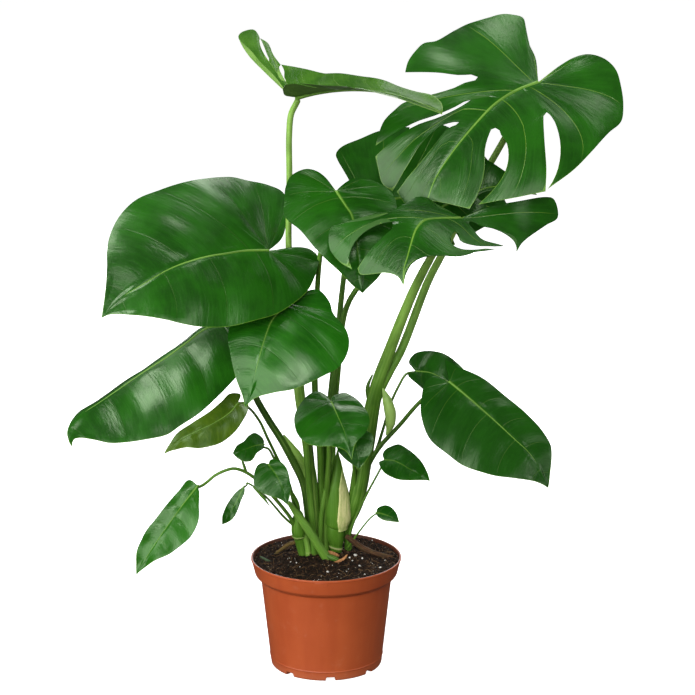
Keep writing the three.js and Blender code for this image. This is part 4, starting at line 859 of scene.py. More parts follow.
def add_stalk(
    shape, points, radii, tone=0.4, sides=20, step=3.0, groove=0.0, knots=(), tilt=0.0, marks=(), seed=1,
    ribs=0.012,
):
    """A stalk with a fine tube, rounded ends and faint ridges.
    knots gives its radius by height, marks its pale bands."""
    curve = curve_through(points)
    length = run_of(curve)[-1]
    cap = min(0.8 * float(max(radii[0], 0.5)), 0.3 * length)
    s = np.linspace(0, 1, max(6, round(length / step)) + 1)
    s = np.sort(np.concatenate([s, np.array([0.25, 0.5, 0.75]) * cap / length]))
    path = points_along(curve, s)
    radius = np.interp(s, np.linspace(0, 1, len(radii)), radii)
    ends = np.sqrt(np.clip(1 - (1 - np.minimum(s * length / cap, 1)) ** 2, 0.0, 1))
    _, side, up = transported(path)
    theta = np.linspace(0, 2 * math.pi, sides, endpoint=False)
    cos, sin = np.cos(theta), np.sin(theta)
    level = path[:, 2:] + tilt * radius[:, None] * (side[:, :1] * cos + up[:, :1] * sin)
    r = (radius * ends)[:, None] * np.ones(sides)[None]
    if len(knots):
        heights, sizes = np.array(knots)[::-1].T
        r = np.interp(level, heights, sizes) * ends[:, None]
    r = r * (1 - groove * np.exp(-(((theta - math.pi / 2) / 0.55) ** 2)))[None]
    r = r * (1 + ribs * np.cos(theta * 5 + seed) + 0.6 * ribs * np.cos(theta * 9 + 2 * seed))[None]
    outward = cos[None, :, None] * side[:, None] + sin[None, :, None] * up[:, None]
    ring = path[:, None] + r[..., None] * outward
    rows = len(s)
    fields = (theta[None] / (2 * math.pi), (s * length)[:, None], radius[:, None])
    skin = np.stack([np.broadcast_to(field, (rows, sides)) for field in fields], -1).reshape(-1, 3)
    look = np.tile([0.0, seed % 31, 0.0], (rows * sides, 1))
    tones = np.atleast_1d(tone)
    look[:, 0] = np.repeat(np.interp(s, np.linspace(0, 1, len(tones)), tones), sides)
    for z, breadth, amount in marks:
        look[:, 2] = np.maximum(look[:, 2], amount * np.exp(-(((level.ravel() - z) / breadth) ** 2)))

    middle, base, j = rows * sides, (rows - 1) * sides, np.arange(sides)
    first = np.column_stack([np.full(sides, middle), (j + 1) % sides, j])
    last = np.column_stack([np.full(sides, middle + 1), base + j, base + (j + 1) % sides])
    look = np.vstack([look, look[:2]])
    look[-2:, 2] = 1.0
    shape.add(
        np.vstack([ring.reshape(-1, 3), path[:1], path[-1:]]),
        [grid_faces(rows, sides, wrap=True), first, last],
        skin=np.vstack([skin, skin[:1], skin[-1:]]), look=look,
    )


def stalk_start(blade, radius):
    """The two points that bring a stalk in under the base of its blade."""
    base = blade.place(0.0, 0.0)
    ahead = unit(blade.place(2.0, 0.0) - base)
    down = unit(np.cross(ahead, blade.across))
    if down @ blade.face > 0:
        down = -down
    return [base + 2 * ahead + (radius + 0.1) * down, base - 3 * ahead + (radius + 4.6) * down]


def add_under_rib(shape, blade, radius):
    """The midrib that stands out under a blade and carries on from its stalk."""
    a = np.linspace(-1.5, 0.93 * blade.length, 30)
    w = np.interp(a, blade.rib[:, 0], blade.rib[:, 1], left=0)
    path = blade.place(a, w)
    normal = unit(np.cross(blade.place(a + 0.5, w) - path, blade.place(a, w + 0.5) - path))
    normal = np.where((normal @ blade.face)[:, None] > 0, normal, -normal)
    r = radius * (1 - 0.88 * np.linspace(0, 1, len(a)) ** 0.6)
    path = path - normal * (r * 0.72 + 0.15)[:, None]
    add_stalk(shape, path[::2], list(r[::4]), tone=0.65, sides=10, step=4, seed=3)


# ------------------------------------------------------------------ shader arithmetic
class Wire:
    """A socket of a material's nodes that works in Python arithmetic."""

    def __init__(self, tree, socket=None):
        self.tree, self.socket = tree, socket

    def node(self, kind, settings=None, sockets=None, out=0):
        made = self.tree.nodes.new(kind)
        for name, value in (settings or {}).items():
            setattr(made, name, value)
        for key, value in (sockets or {}).items():
            if isinstance(value, Wire):
                self.tree.links.new(value.socket, made.inputs[key])
            else:
                made.inputs[key].default_value = value
        return Wire(self.tree, made.outputs[out] if made.outputs else None)

    def math(self, operation, *values):
        return self.node("ShaderNodeMath", {"operation": operation}, dict(enumerate(values)))

    def __add__(self, other):
        return self.math("ADD", self, other)

    def __radd__(self, other):
        return self.math("ADD", other, self)

    def __sub__(self, other):
        return self.math("SUBTRACT", self, other)

    def __rsub__(self, other):
        return self.math("SUBTRACT", other, self)

    def __mul__(self, other):
        return self.math("MULTIPLY", self, other)

    def __rmul__(self, other):
        return self.math("MULTIPLY", other, self)

    def step(self, low, high):
        """0 at low to 1 at high, smoothly; low may be the larger."""
        sockets = {"Value": self, "From Min": low, "From Max": high}
        return self.node("ShaderNodeMapRange", {"interpolation_type": "SMOOTHSTEP"}, sockets)

    def near(self, half):
        """Distance to the nearest whole number, times half."""
        return self.math("PINGPONG", self, 0.5) * half

    def mix(self, a, b):
        """Colour a where this is 0 and b where it is 1."""
        return self.node("ShaderNodeMix", {"data_type": "RGBA"}, {0: self, 6: colour(a), 7: colour(b)}, out=2)

    def parts(self):
        return [self.node("ShaderNodeSeparateXYZ", None, {0: self}, out=k) for k in range(3)]

    def join(self, x, y, z):
        return self.node("ShaderNodeCombineXYZ", None, {0: x, 1: y, 2: z})

    def noise(self, at, scale, detail=2.0, rough=0.5):
        sockets = {"Vector": at, "Scale": scale, "Detail": detail, "Roughness": rough}
        return self.node("ShaderNodeTexNoise", None, sockets)

    def cells(self, at, scale, out=0):
        """Distance to the middle of the nearest cell, or with out 1 the cell's own chance colour."""
        return self.node("ShaderNodeTexVoronoi", None, {"Vector": at, "Scale": scale}, out=out)

    def attribute(self, name):
        return self.node("ShaderNodeAttribute", {"attribute_name": name}, out=1)

    def position(self):
        return self.node("ShaderNodeTexCoord", None, out=3)

    def bump(self, strength, distance):
        sockets = {"Strength": strength, "Distance": distance, "Height": self}
        return self.node("ShaderNodeBump", None, sockets)


def colour(value):
    """A colour of 0 to 255 as the shader's own values; a wire stays as it is."""
    if isinstance(value, Wire):
        return value
    return (*[(c / 255 / 12.92 if c <= 10.31 else ((c / 255 + 0.055) / 1.055) ** 2.4) for c in value], 1.0)


def material(name, finish, shine=0.5, **constants):
    """A material whose finish(start) gives the wires for the sockets that vary.
    shine is its specular level; the other constants are set on the shader by name."""
    made = bpy.data.materials.new(name)
    made.use_nodes = True
    made.node_tree.nodes.clear()
    start = Wire(made.node_tree)
    sockets = {"Specular IOR Level": shine, **constants, **finish(start)}
    sockets = {key: colour(v) if isinstance(v, tuple) else v for key, v in sockets.items()}
    shader = start.node("ShaderNodeBsdfPrincipled", None, sockets)
    start.node("ShaderNodeOutputMaterial", None, {"Surface": shader})
    return made


def leaf_finish(deep, mid, light, under, rib):
    def finish(w):
        number, pitch, out = w.attribute("veins").parts()
        across, along, edge = w.attribute("place").parts()
        below, tone, strength = w.attribute("tint").parts()
        at = w.position()
        low = below.step(0.6, 0.9)
        bright = w.math("POWER", strength, 0.6)
        on_vein = number.near(pitch).step(1.5, 0.5) * out.step(1.02, 0.75)
        near_vein = number.near(pitch).step(6.0, 1.0)
        on_rib = across.step(1.2, 0.6) * along.step(0.95, 0.25)
        near_rib = across.step(5.0, 1.0) * along.step(0.9, 0.3)
        patch = w.noise(at, 22, 3, 0.55)
        fleck = w.noise(at, 520, 2, 0.6)
        stripe = w.noise(w.join(number * 3.5, out * 0.9, along * 0.8), 2.2, 3, 0.62)
        fine = w.noise(w.join(number * 11, out * 1.8, along * 1.7), 1.6, 3, 0.65)
        top = patch.step(0.34, 0.68).mix(deep, mid)
        top = (stripe.step(0.42, 0.72) * 0.18).mix(top, light)
        top = (fine.step(0.45, 0.7) * 0.13 + fleck.step(0.5, 0.75) * 0.08).mix(top, light)
        top = (near_vein * 0.3).mix(top, deep)
        top = tone.step(0.0, 1.0).mix(top, light)
        top = tone.step(0.0, -1.0).mix(top, deep)
        top = (on_vein * strength * 0.85).mix(top, rib)
        top = (near_rib * bright * 0.3).mix(top, light)
        top = (on_rib * bright).mix(top, rib)
        back = (patch.step(0.3, 0.7) * 0.5 + fine * 0.3).mix(under, mid)
        back = (on_vein * 0.5 + on_rib * 0.6).mix(back, rib)
        body = low.mix(top, back)
        # A pale line along the margin: partly the margin's own paler colour, partly a painted highlight,
        # since the edge value shows it only on the lower edges
        body = (edge.step(0.8, 0.25) * 0.5).mix(body, rib)
        height = stripe * 0.6 + fine * 0.35 + fleck * 0.03 - on_vein * 0.3
        rough = 0.15 + fine * 0.1 + fleck * 0.03 + low * 0.25
        return {"Base Color": body, "Roughness": rough, "Normal": height.bump(0.5, 0.0009)}
    return finish


def stem_finish(dark, mid, pale, husk):
    def finish(w):
        turn, run, radius = w.attribute("skin").parts()
        tone, seed, cut = w.attribute("look").parts()
        at = w.position()
        streak = w.noise(w.join(turn * 26, run * 0.02, seed), 1.0, 3, 0.6)
        band = w.noise(w.join(turn * 2, run * 0.035, seed + 4), 1.0, 2, 0.5)
        speck = w.cells(at, 700).step(0.2, 0.05) * w.noise(at, 300).step(0.5, 0.62)
        base = tone.step(0.0, 0.55).mix(dark, mid)
        base = tone.step(0.5, 1.0).mix(base, pale)
        base = (streak.step(0.42, 0.7) * (0.4 - radius.step(8, 11) * 0.22)).mix(base, pale)
        base = (band.step(0.45, 0.75) * 0.45).mix(base, dark)
        base = (speck * 0.45).mix(base, pale)
        base = cut.step(0.3, 0.9).mix(base, husk)
        height = streak * 0.6 + speck * 0.2
        rough = 0.38 + streak * 0.14
        return {"Base Color": base, "Roughness": rough, "Normal": height.bump(0.4, 0.0004)}
    return finish


def pot_finish(w):
    at = w.position()
    x, y, z = at.parts()
    cloud = w.noise(at, 14, 3, 0.5)
    grain = w.noise(at, 1400, 2, 0.6)
    drag = w.noise(w.join(x * 60, y * 60, z * 4), 1.0, 3, 0.55)
    dust = w.noise(at, 95, 4, 0.65).step(0.56, 0.78)
    body = cloud.step(0.3, 0.7).mix((178, 80, 38), (190, 89, 44))
    body = (drag.step(0.4, 0.7) * 0.3).mix(body, (164, 65, 29))
    body = (dust * 0.14 + z.step(0.012, 0.001) * 0.12).mix(body, (208, 152, 120))
    radius = w.math("SQRT", x * x + y * y)
    # The inner wall just above the soil is darkened to a soil brown: partly soil dust on it, partly painted
    # shade inside the rim
    inside = (radius - z * 0.25).step(0.0478, 0.0471) * z.step(0.103, 0.105)
    body = (inside * (0.8 + 0.2 * dust)).mix(body, (48, 30, 20))
    height = grain * 0.35 + drag * 0.35 + cloud * 0.3
    rough = 0.4 + cloud * 0.12 + dust * 0.18
    return {"Base Color": body, "Roughness": rough, "Normal": height.bump(0.25, 0.0005)}


def soil_finish(w):
    at = w.position()
    shade = w.attribute("look").parts()[0]
    clump = w.noise(at, 260, 4, 0.7)
    grit = w.noise(at, 1100, 3, 0.75)
    chip = w.cells(at, 620, out=1).parts()[0]
    chaff = w.cells(at, 900, out=1).parts()[0]
    body = clump.step(0.4, 0.68).mix((16, 9, 5), (60, 39, 23))
    body = (grit.step(0.52, 0.72) * 0.5).mix(body, (84, 62, 44))
    body = (chip.step(0.965, 0.98) * 0.6).mix(body, (140, 112, 82))
    body = (chaff.step(0.992, 0.996) * 0.7).mix(body, (190, 176, 150))
    body = shade.mix(body, (120, 88, 58))
    height = clump * 0.7 + grit * 0.6
    return {"Base Color": body, "Roughness": 0.82 + grit * 0.15, "Normal": height.bump(1.0, 0.0016)}


def perlite_finish(w):
    at = w.position()
    pore = w.noise(at, 1500, 3, 0.6)
    body = pore.step(0.35, 0.65).mix((196, 190, 178), (244, 243, 238))
    return {"Base Color": body, "Roughness": 0.85 + pore * 0.1, "Normal": pore.bump(0.6, 0.0004)}


def bark_finish(dark, light, moss):
    def finish(w):
        at = w.position()
        turn, run, _ = w.attribute("skin").parts()
        fibre = w.noise(w.join(turn * 30, run * 0.08, 2.0), 1.0, 4, 0.65)
        patch = w.noise(at, 180, 3, 0.6)
        body = fibre.step(0.35, 0.7).mix(dark, light)
        body = (patch.step(0.5, 0.7) * 0.5).mix(body, moss)
        height = fibre * 0.7 + patch * 0.4
        return {"Base Color": body, "Roughness": 0.72 + fibre * 0.2, "Normal": height.bump(0.8, 0.0008)}
    return finish


def husk_finish(dark, light):
    def finish(w):
        at = w.position()
        x, y, z = at.parts()
        fibre = w.noise(w.join(x * 900, y * 260, z * 300), 1.0, 4, 0.6)
        patch = w.noise(at, 260, 3, 0.6)
        body = fibre.step(0.3, 0.7).mix(dark, light)
        body = (patch.step(0.55, 0.75) * 0.5).mix(body, (96, 60, 34))
        return {"Base Color": body, "Roughness": 0.7 + fibre * 0.2, "Normal": fibre.bump(0.7, 0.0004)}
    return finish


def cream_finish(w):
    at = w.position()
    x, y, z = at.parts()
    thread = w.noise(w.join(x * 700, y * 700, z * 60), 1.0, 3, 0.6)
    patch = w.noise(at, 140, 3, 0.6)
    body = thread.step(0.35, 0.65).mix((190, 200, 122), (230, 228, 160))
    body = (patch.step(0.5, 0.75) * 0.4).mix(body, (158, 184, 88))
    body = (z.step(0.146, 0.138) * 0.5 + z.step(0.184, 0.202) * 0.6).mix(body, (140, 172, 78))
    height = thread * 0.7 + patch * 0.3
    return {"Base Color": body, "Roughness": 0.5 + thread * 0.2, "Normal": height.bump(0.5, 0.0005)}


# The leaf finishes give the upper face's three greens, the under face and the veins.
GREEN_SHINE = {"Specular Tint": (230, 255, 214)}
OLIVE_SHINE = {"Specular Tint": (214, 255, 190)}
LEAF = material(
    "glossy_leaf", leaf_finish((19, 64, 8), (30, 88, 13), (42, 112, 19), (56, 94, 36), (116, 162, 48)),
    **GREEN_SHINE,
)
PALE_LEAF = material(
    "pale_leaf", leaf_finish((18, 72, 7), (29, 96, 12), (54, 124, 26), (78, 118, 50), (128, 174, 60)),
    **GREEN_SHINE,
)
OLIVE_LEAF = material(
    "olive_leaf", leaf_finish((50, 78, 14), (72, 100, 20), (96, 122, 34), (80, 106, 26), (124, 148, 54)),
    shine=0.45, **OLIVE_SHINE,
)
# The top leaf is seen from below: its under face green is paler than its own, which lightens the parts of it
# that lie in shade, painted light
TOP_LEAF = material(
    "top_leaf", leaf_finish((44, 88, 20), (66, 112, 32), (98, 140, 54), (124, 164, 78), (158, 192, 104)),
    shine=0.04,
)
# The stem finishes give dark, middling and pale skin, and the husky bands.
STEM = material(
    "green_stem", stem_finish((46, 82, 16), (82, 130, 34), (152, 194, 90), (200, 206, 138)),
    shine=0.45, **{"Specular Tint": (214, 255, 196)},
)
# The pale stem greens are the rolled young leaf's: partly its own young colour, partly painted light that
# lifts it out of the shade of the leaves above
PALE_STEM = material(
    "pale_stem", stem_finish((76, 128, 38), (118, 170, 62), (168, 208, 106), (196, 212, 136)), shine=0.45,
)
POT = material("terracotta_plastic", pot_finish, shine=0.45)
SOIL = material("potting_mix", soil_finish, shine=0.25)
PERLITE = material("perlite", perlite_finish, shine=0.3)
BARK = material("root_bark", bark_finish((38, 24, 14), (108, 74, 44), (80, 74, 36)), shine=0.3)
GREEN_ROOT = material("green_root", bark_finish((46, 60, 40), (100, 124, 88), (70, 94, 60)), shine=0.35)
OLIVE_ROOT = material("olive_root", bark_finish((62, 50, 24), (132, 108, 56), (84, 84, 40)), shine=0.3)
FIBRE = material("root_fibre", bark_finish((84, 60, 38), (158, 124, 84), (120, 96, 56)), shine=0.3)
HUSK = material("dry_husk", husk_finish((150, 96, 56), (206, 150, 98)), shine=0.3)
CREAM = material("cream_sheath_margin", cream_finish, shine=0.35)

# Each record slot's finish, and the pieces that have one of their own.
SLOT_FINISHES = {
    "leaf": LEAF, "pale_leaf": PALE_LEAF, "olive_leaf": OLIVE_LEAF, "bark": BARK, "olive_root": OLIVE_ROOT,
}
OWN_FINISHES = {"blade_split_top": TOP_LEAF, "root_green": GREEN_ROOT}


def finish_of(piece):
    """The finish of a leaf or root, by its name or else its record slot."""
    return OWN_FINISHES.get(piece["name"], SLOT_FINISHES[piece["finish"]])


# ------------------------------------------------------------------ leaves and stalks
BLADES = {leaf["name"]: Blade(leaf) for leaf in LEAVES}
for leaf in LEAVES:
    shape = blade_shape(leaf, BLADES[leaf["name"]])
    shape.build(leaf["name"].replace("blade", "leaf"), finish_of(leaf), leaf["finish"], [leaf["name"]])


def stalk_fineness(stalk, thick):
    """How many sides a stalk has, and how far its rings lie apart."""
    sides, step = (30 if thick > 6 else 20, 3.0) if thick > 3 else (14, 2.2)
    if "knots" in stalk:
        sides, step = 48, 0.8
    return sides, 1.6 if "groove" in stalk else step


def stalk_shape(stalks):
    """Stalks and canes of one stem, each with the midrib under its own blade."""
    shape = Shape("skin", "look")
    for k, stalk in enumerate(stalks):
        points, radii = list(map(np.array, stalk["points"])), stalk["radii"]
        thick, own_blade = max(radii), "blade" in stalk
        if own_blade:
            blade = BLADES[stalk["blade"]]
            points = stalk_start(blade, radii[0]) + points
            add_under_rib(shape, blade, radii[0] * 0.8)
        sides, step = stalk_fineness(stalk, thick)
        extras = {key: stalk[key] for key in ("knots", "tilt", "marks", "ribs") if key in stalk}
        add_stalk(
            shape, points, radii, tone=stalk.get("tone", 0.35), sides=sides, step=step, seed=k + 1,
            groove=stalk.get("groove", 0.1 if own_blade and thick > 3 else 0), **extras,
        )
    return shape


def add_sheath_margin():
    """The pale dry margin that wraps the right of the sheath above its node."""
    rows, columns = 62, 19
    foot, top = 136.5, 215
    edge_heights = [139.5, 141, 148.6, 159.3, 171, 183, 193, 204, top]
    edge_places = [12.6, 11.4, 10.6, 11.8, 13, 13, 14.8, 17, 16]
    heights, sizes = np.array(SHEATH["knots"])[::-1].T
    z = np.linspace(foot, top, rows)
    cane = curve_through(SHEATH["points"])[::-1]
    centre = np.column_stack([np.interp(z, cane[:, 2], cane[:, k]) for k in (0, 1)])
    sideways = np.interp(z, edge_heights, edge_places) - centre[:, 0]
    first = np.arcsin(np.clip(sideways / np.interp(np.maximum(z, 141), heights, sizes), -1, 0.97))
    u = np.linspace(0, 1, columns)
    turn = first[:, None] + u * (np.radians(125) - first[:, None])
    r = np.interp(np.maximum(z, 142.5)[:, None] + SHEATH["tilt"] * 12 * np.sin(turn), heights, sizes)
    frill = 0.18 * np.sin(0.9 * z[:, None] + 2 * u) + 0.1 * np.sin(2.3 * z[:, None])
    edge = 0.55 + 0.35 * np.exp(-u / 0.12) + frill * np.exp(-u / 0.2)
    r = r + np.where(u == 0, -0.5, edge) * smooth((top - z) / 5)[:, None]
    r = r + 2.6 * smooth((u - 0.1) / 0.5) * (smooth((z - 136) / 12) * smooth((200 - z) / 34))[:, None]
    r[:, -1] -= 1
    place = [centre[:, :1] + r * np.sin(turn), centre[:, 1:] - r * np.cos(turn), z[:, None] + 0 * turn]
    shape = Shape()
    shape.add_grid(np.stack(place, -1), turned=True)
    shape.build("sheath_margin", CREAM, "pale_stem")


def add_husk(husk):
    """A dry scale: a thin curled strip along its points."""
    rows, columns, half_thick = 31, 9, 0.15
    t, s = np.meshgrid(np.linspace(0, 1, rows), np.linspace(-1, 1, columns), indexing="ij")
    path = points_along(curve_through(husk["points"]), t[:, 0])
    ahead = unit(np.gradient(path, axis=0))
    across = unit(np.cross(ahead, np.array(husk["lean"], float)))
    up = np.cross(across, ahead)
    half = husk["width"] / 2 * np.sqrt(np.maximum(np.sin(math.pi * (0.02 + 0.96 * t)), 0))
    half = half * (1 + 0.08 * np.sin(11 * t + 3 * s))
    lift = husk["curl"] * s * s + 0.2 * np.sin(9 * t + 5 * s)
    place = path[:, None] + (s * half)[..., None] * across[:, None] + lift[..., None] * up[:, None]
    shape = Shape()
    shape.add_grid(place + up[:, None] * half_thick)
    shape.add_grid(place - up[:, None] * half_thick, turned=True)
    shape.build(husk["name"] + "_scale", HUSK, "husk", [husk["name"]])


stalk_shape(MAIN_STEM).build("stalks_main", STEM, "stem", ["stem_main"])
stalk_shape(LEFT_STEM).build("stalks_left", STEM, "stem", ["stem_left"])

shape = Shape("skin", "look")
# The young leaf takes the palest tone: partly its own colour, partly painted light against the shade it lies
# in
add_stalk(shape, YOUNG_LEAF["points"], YOUNG_LEAF["radii"], tone=1, sides=24, step=1.5, seed=9)
shape.build("rolled_young_leaf", PALE_STEM, "pale_stem", ["young_leaf"])

add_sheath_margin()

for root in ROOTS:
    shape = Shape("skin", "look")
    add_stalk(shape, root["points"], root["radii"], sides=20, step=1.0, ribs=0.06, seed=len(root["points"]))
    shape.build(root["name"] + "_skin", finish_of(root), root["finish"], [root["name"]])

for husk in HUSKS:
    add_husk(husk)


# ------------------------------------------------------------------ pot
STEP = POT_HEIGHT - RIM_BAND
FOOT_INNER = FOOT_RADIUS - FOOT_WIDTH
FLOOR_TOP = FLOOR_LIFT + WALL
# Where the notches and the drain holes lie round the pot, in degrees.
NOTCH_PLACES = [NOTCH_TURN + 360 * i / NOTCHES - 90 for i in range(NOTCHES)]


def wall_radius(z):
    return FOOT_RADIUS + (BODY_RADIUS - FOOT_RADIUS) * z / STEP


def on_wall(*heights):
    return [[wall_radius(z), z] for z in heights]


def rounded(profile):
    """The profile's [radius, height, fillet] corners with each fillet as a short arc."""
    points = [profile[0][:2]]
    for before, here, after in zip(profile, profile[1:], profile[2:]):
        p, q, r = (np.array(x[:2], float) for x in (before, here, after))
        fillet = here[2] if len(here) > 2 else 0
        if not fillet:
            points.append(q)
            continue
        back, on = q + unit(p - q) * fillet, q + unit(r - q) * fillet
        for s in np.linspace(0, 1, 5):
            points.append((1 - s) ** 2 * back + 2 * s * (1 - s) * q + s * s * on)
    points.append(profile[-1][:2])
    return np.array(points, float)


def pot_profile():
    """The pot's section from the middle of its underside, out, up, over the rim and down inside."""
    return rounded([
        [0, 0], [PAD_RADIUS, 0, 0.4], [PAD_RADIUS + 1, FLOOR_LIFT, 0.4],
        [FOOT_INNER - 1, FLOOR_LIFT], [FOOT_INNER, 0, 0.3],
        [FOOT_RADIUS - 1.2, 0], [FOOT_RADIUS - 0.3, 0.3], *on_wall(1.2, 2.5, 4.1, 6),
        [wall_radius(RING_HEIGHT - 0.75), RING_HEIGHT - 0.75, 0.2],
        [wall_radius(RING_HEIGHT) + 0.5, RING_HEIGHT, 0.3],
        [wall_radius(RING_HEIGHT + 0.75), RING_HEIGHT + 0.75, 0.2], *on_wall(30, 60, 85),
        [BODY_RADIUS, STEP - 2.6, 1.0], [BODY_RADIUS + 1.6, STEP - 1.2, 0.8],
        [RIM_FOOT_RADIUS - 1.6, STEP + 0.6, 0.8], [RIM_FOOT_RADIUS, STEP + 2.4, 1.0],
        [RIM_RADIUS - 1.0, POT_HEIGHT - 4.0], [RIM_RADIUS - 0.55, POT_HEIGHT - 2.2, 0.2],
        [RIM_RADIUS, POT_HEIGHT - 1.7, 0.2], [RIM_RADIUS, POT_HEIGHT, 0.5],
        [RIM_RADIUS - WALL, POT_HEIGHT, 0.5], [RIM_FOOT_RADIUS - WALL, STEP + 2.6, 1.0],
        [BODY_RADIUS - WALL, STEP, 1.0], [wall_radius(50) - WALL, 50],
        [FOOT_RADIUS - WALL, FLOOR_TOP + 1, 1.0], [FOOT_RADIUS - WALL - 2, FLOOR_TOP], [0, FLOOR_TOP],
    ])


def nursery_pot():
    """The profile turned round, with more points at the notches, which lift its foot."""
    angles = set(np.round(np.linspace(0, 360, 216, endpoint=False), 4))
    notch_half = math.degrees(NOTCH_WIDTH / 2 / FOOT_RADIUS)
    for place in NOTCH_PLACES:
        for part in (0.3, 0.6, 0.8, 0.9, 0.96, 0.99, 1.0, 1.012):
            angles |= {round((place + side * part * notch_half) % 360, 4) for side in (1, -1)}
    angles = np.array(sorted(angles))
    off = np.min([np.abs((angles - place + 180) % 360 - 180) for place in NOTCH_PLACES], axis=0) / notch_half
    opening = NOTCH_HEIGHT * np.where(off < 1, np.sqrt(np.maximum(0, 1 - np.minimum(off, 1) ** 10)), 0)
    radius, height = pot_profile().T[:, :, None]
    in_foot = (radius > FOOT_INNER - 0.6) & (radius < FOOT_RADIUS + 1) & (height < 5)
    raised = np.where(in_foot, np.maximum(height, opening[None]), height)
    turn = np.radians(angles)[None]
    shape = Shape()
    shape.add_grid(np.stack([radius * np.cos(turn), radius * np.sin(turn), raised + 0 * turn], -1), wrap=True)
    pot = shape.build("nursery_pot", POT, "pot_plastic", ["pot"])
    pot.data.set_sharp_from_angle(angle=math.radians(50))
    return pot


def drill_drains(pot):
    """Cut the drain holes through the floor, between the foot ring and the pad."""
    count = 28
    turn = np.linspace(0, 2 * math.pi, count, endpoint=False)
    caps = np.array([[0, k + 1, k] for k in range(1, count - 1)])
    drains = Shape()
    for place in NOTCH_PLACES:
        x, y = (DRAIN_CIRCLE * turned(math.radians(place)) for turned in (math.cos, math.sin))
        circle = [x + DRAIN_RADIUS * np.cos(turn), y + DRAIN_RADIUS * np.sin(turn)]
        rings = [np.column_stack([*circle, np.full(count, z)]) for z in (FLOOR_LIFT - 3, FLOOR_TOP + 3)]
        drains.add(np.vstack(rings), [grid_faces(2, count, wrap=True), caps, caps[:, ::-1] + count])
    cutter = drains.build("drain_cutter", POT, "pot_plastic")
    cut = pot.modifiers.new("drains", "BOOLEAN")
    cut.object, cut.operation, cut.solver = cutter, "DIFFERENCE", "EXACT"
    bpy.context.view_layer.update()
    drilled = bpy.data.meshes.new_from_object(pot.evaluated_get(bpy.context.evaluated_depsgraph_get()))
    pot.modifiers.clear()
    pot.data = drilled
    bpy.data.objects.remove(cutter)


def add_rim_frame():
    """A small moulded frame on the front of the rim."""
    foot, tall, half_wide, proud = POT_HEIGHT - 6.4, 4.0, 6.8, 0.28
    u, v = np.meshgrid(np.linspace(-1, 1, 41), np.linspace(0, 1, 13), indexing="ij")
    border = smooth(np.maximum(np.abs(u) * 1.25 - 0.78, np.abs(v - 0.5) * 2 - 0.5) * 6)
    raise_by = proud * smooth((1 - np.abs(u)) * 9) * smooth(np.minimum(v, 1 - v) * 7) * (0.45 + 0.55 * border)
    z = foot + tall * v
    lean = (RIM_RADIUS - 0.5 - RIM_FOOT_RADIUS) * (z - STEP - 2.4) / (RIM_BAND - 4.6)
    r = RIM_FOOT_RADIUS + lean - 0.05 + raise_by
    turn = math.radians(-93) + u * half_wide / RIM_RADIUS
    shape = Shape()
    shape.add_grid(np.stack([r * np.cos(turn), r * np.sin(turn), z], -1))
    shape.build("rim_frame", POT, "pot_plastic")


drill_drains(nursery_pot())
add_rim_frame()


# ------------------------------------------------------------------ potting mix
def soil_top(x, y):
    """Height of the soil: a low mound with lumps, banked up at the wall."""
    out = np.hypot(x, y) / RIM_FOOT_RADIUS
    lumps = np.sin(0.41 * x + 1.3) * np.sin(0.37 * y + 0.4) + 0.6 * np.sin(0.9 * x - 0.7 * y)
    bank = 2.6 * smooth((out - 0.7) / 0.28) * (1 + 0.25 * np.sin(5 * np.arctan2(y, x) + 1))
    return SOIL_EDGE + SOIL_MOUND * np.maximum(0, 1 - out * out) + bank + 0.9 * lumps


def soil_grain(x, y):
    """The soil's small lumps, over and under its height."""
    clump = noise.voronoi(Vector((x / 3.1, y / 3.1, 4.0)))[0][0]
    small = noise.fractal(Vector((x / 1.7, y / 1.7, 9.0)), 0.7, 2.1, 3)
    return 0.7 * (0.45 - clump) + 0.8 * small


def potting_mix_bed():
    """The lumpy top of the soil, and its sides just inside the wall of the pot."""
    rows, columns, edge, gap = 100, 330, 73.5, 0.4
    r = edge * np.linspace(0.001, 1, rows) ** 0.8
    turn = np.linspace(0, 2 * math.pi, columns, endpoint=False)
    x, y = r[:, None] * np.cos(turn), r[:, None] * np.sin(turn)
    grain = np.array([[soil_grain(a, b) for a, b in zip(p, q)] for p, q in zip(x, y)])
    top = np.stack([x, y, soil_top(x, y) + grain * smooth((edge - r)[:, None] / 2.5)], -1)
    wall = [
        [RIM_FOOT_RADIUS - WALL - gap, STEP + 2.6], [BODY_RADIUS - WALL - gap, STEP],
        [wall_radius(50) - WALL - gap, 50], [FOOT_RADIUS - WALL - 1.4, FLOOR_TOP + 2],
        [FOOT_RADIUS - WALL - 3, FLOOR_TOP + 0.3], [0.1, FLOOR_TOP + 0.3],
    ]
    sides = np.array([[[a * math.cos(b), a * math.sin(b), c] for b in turn] for a, c in wall])
    shape = Shape("look")
    look = np.zeros(((rows + len(wall)) * columns, 3))
    shape.add_grid(np.vstack([top, sides]), wrap=True, turned=True, look=look)
    shape.build("potting_mix_bed", SOIL, "potting_mix", ["soil"])


potting_mix_bed()

# ------------------------------------------------------------------ crumbs, perlite and fibres
chance = random.Random(SEED)


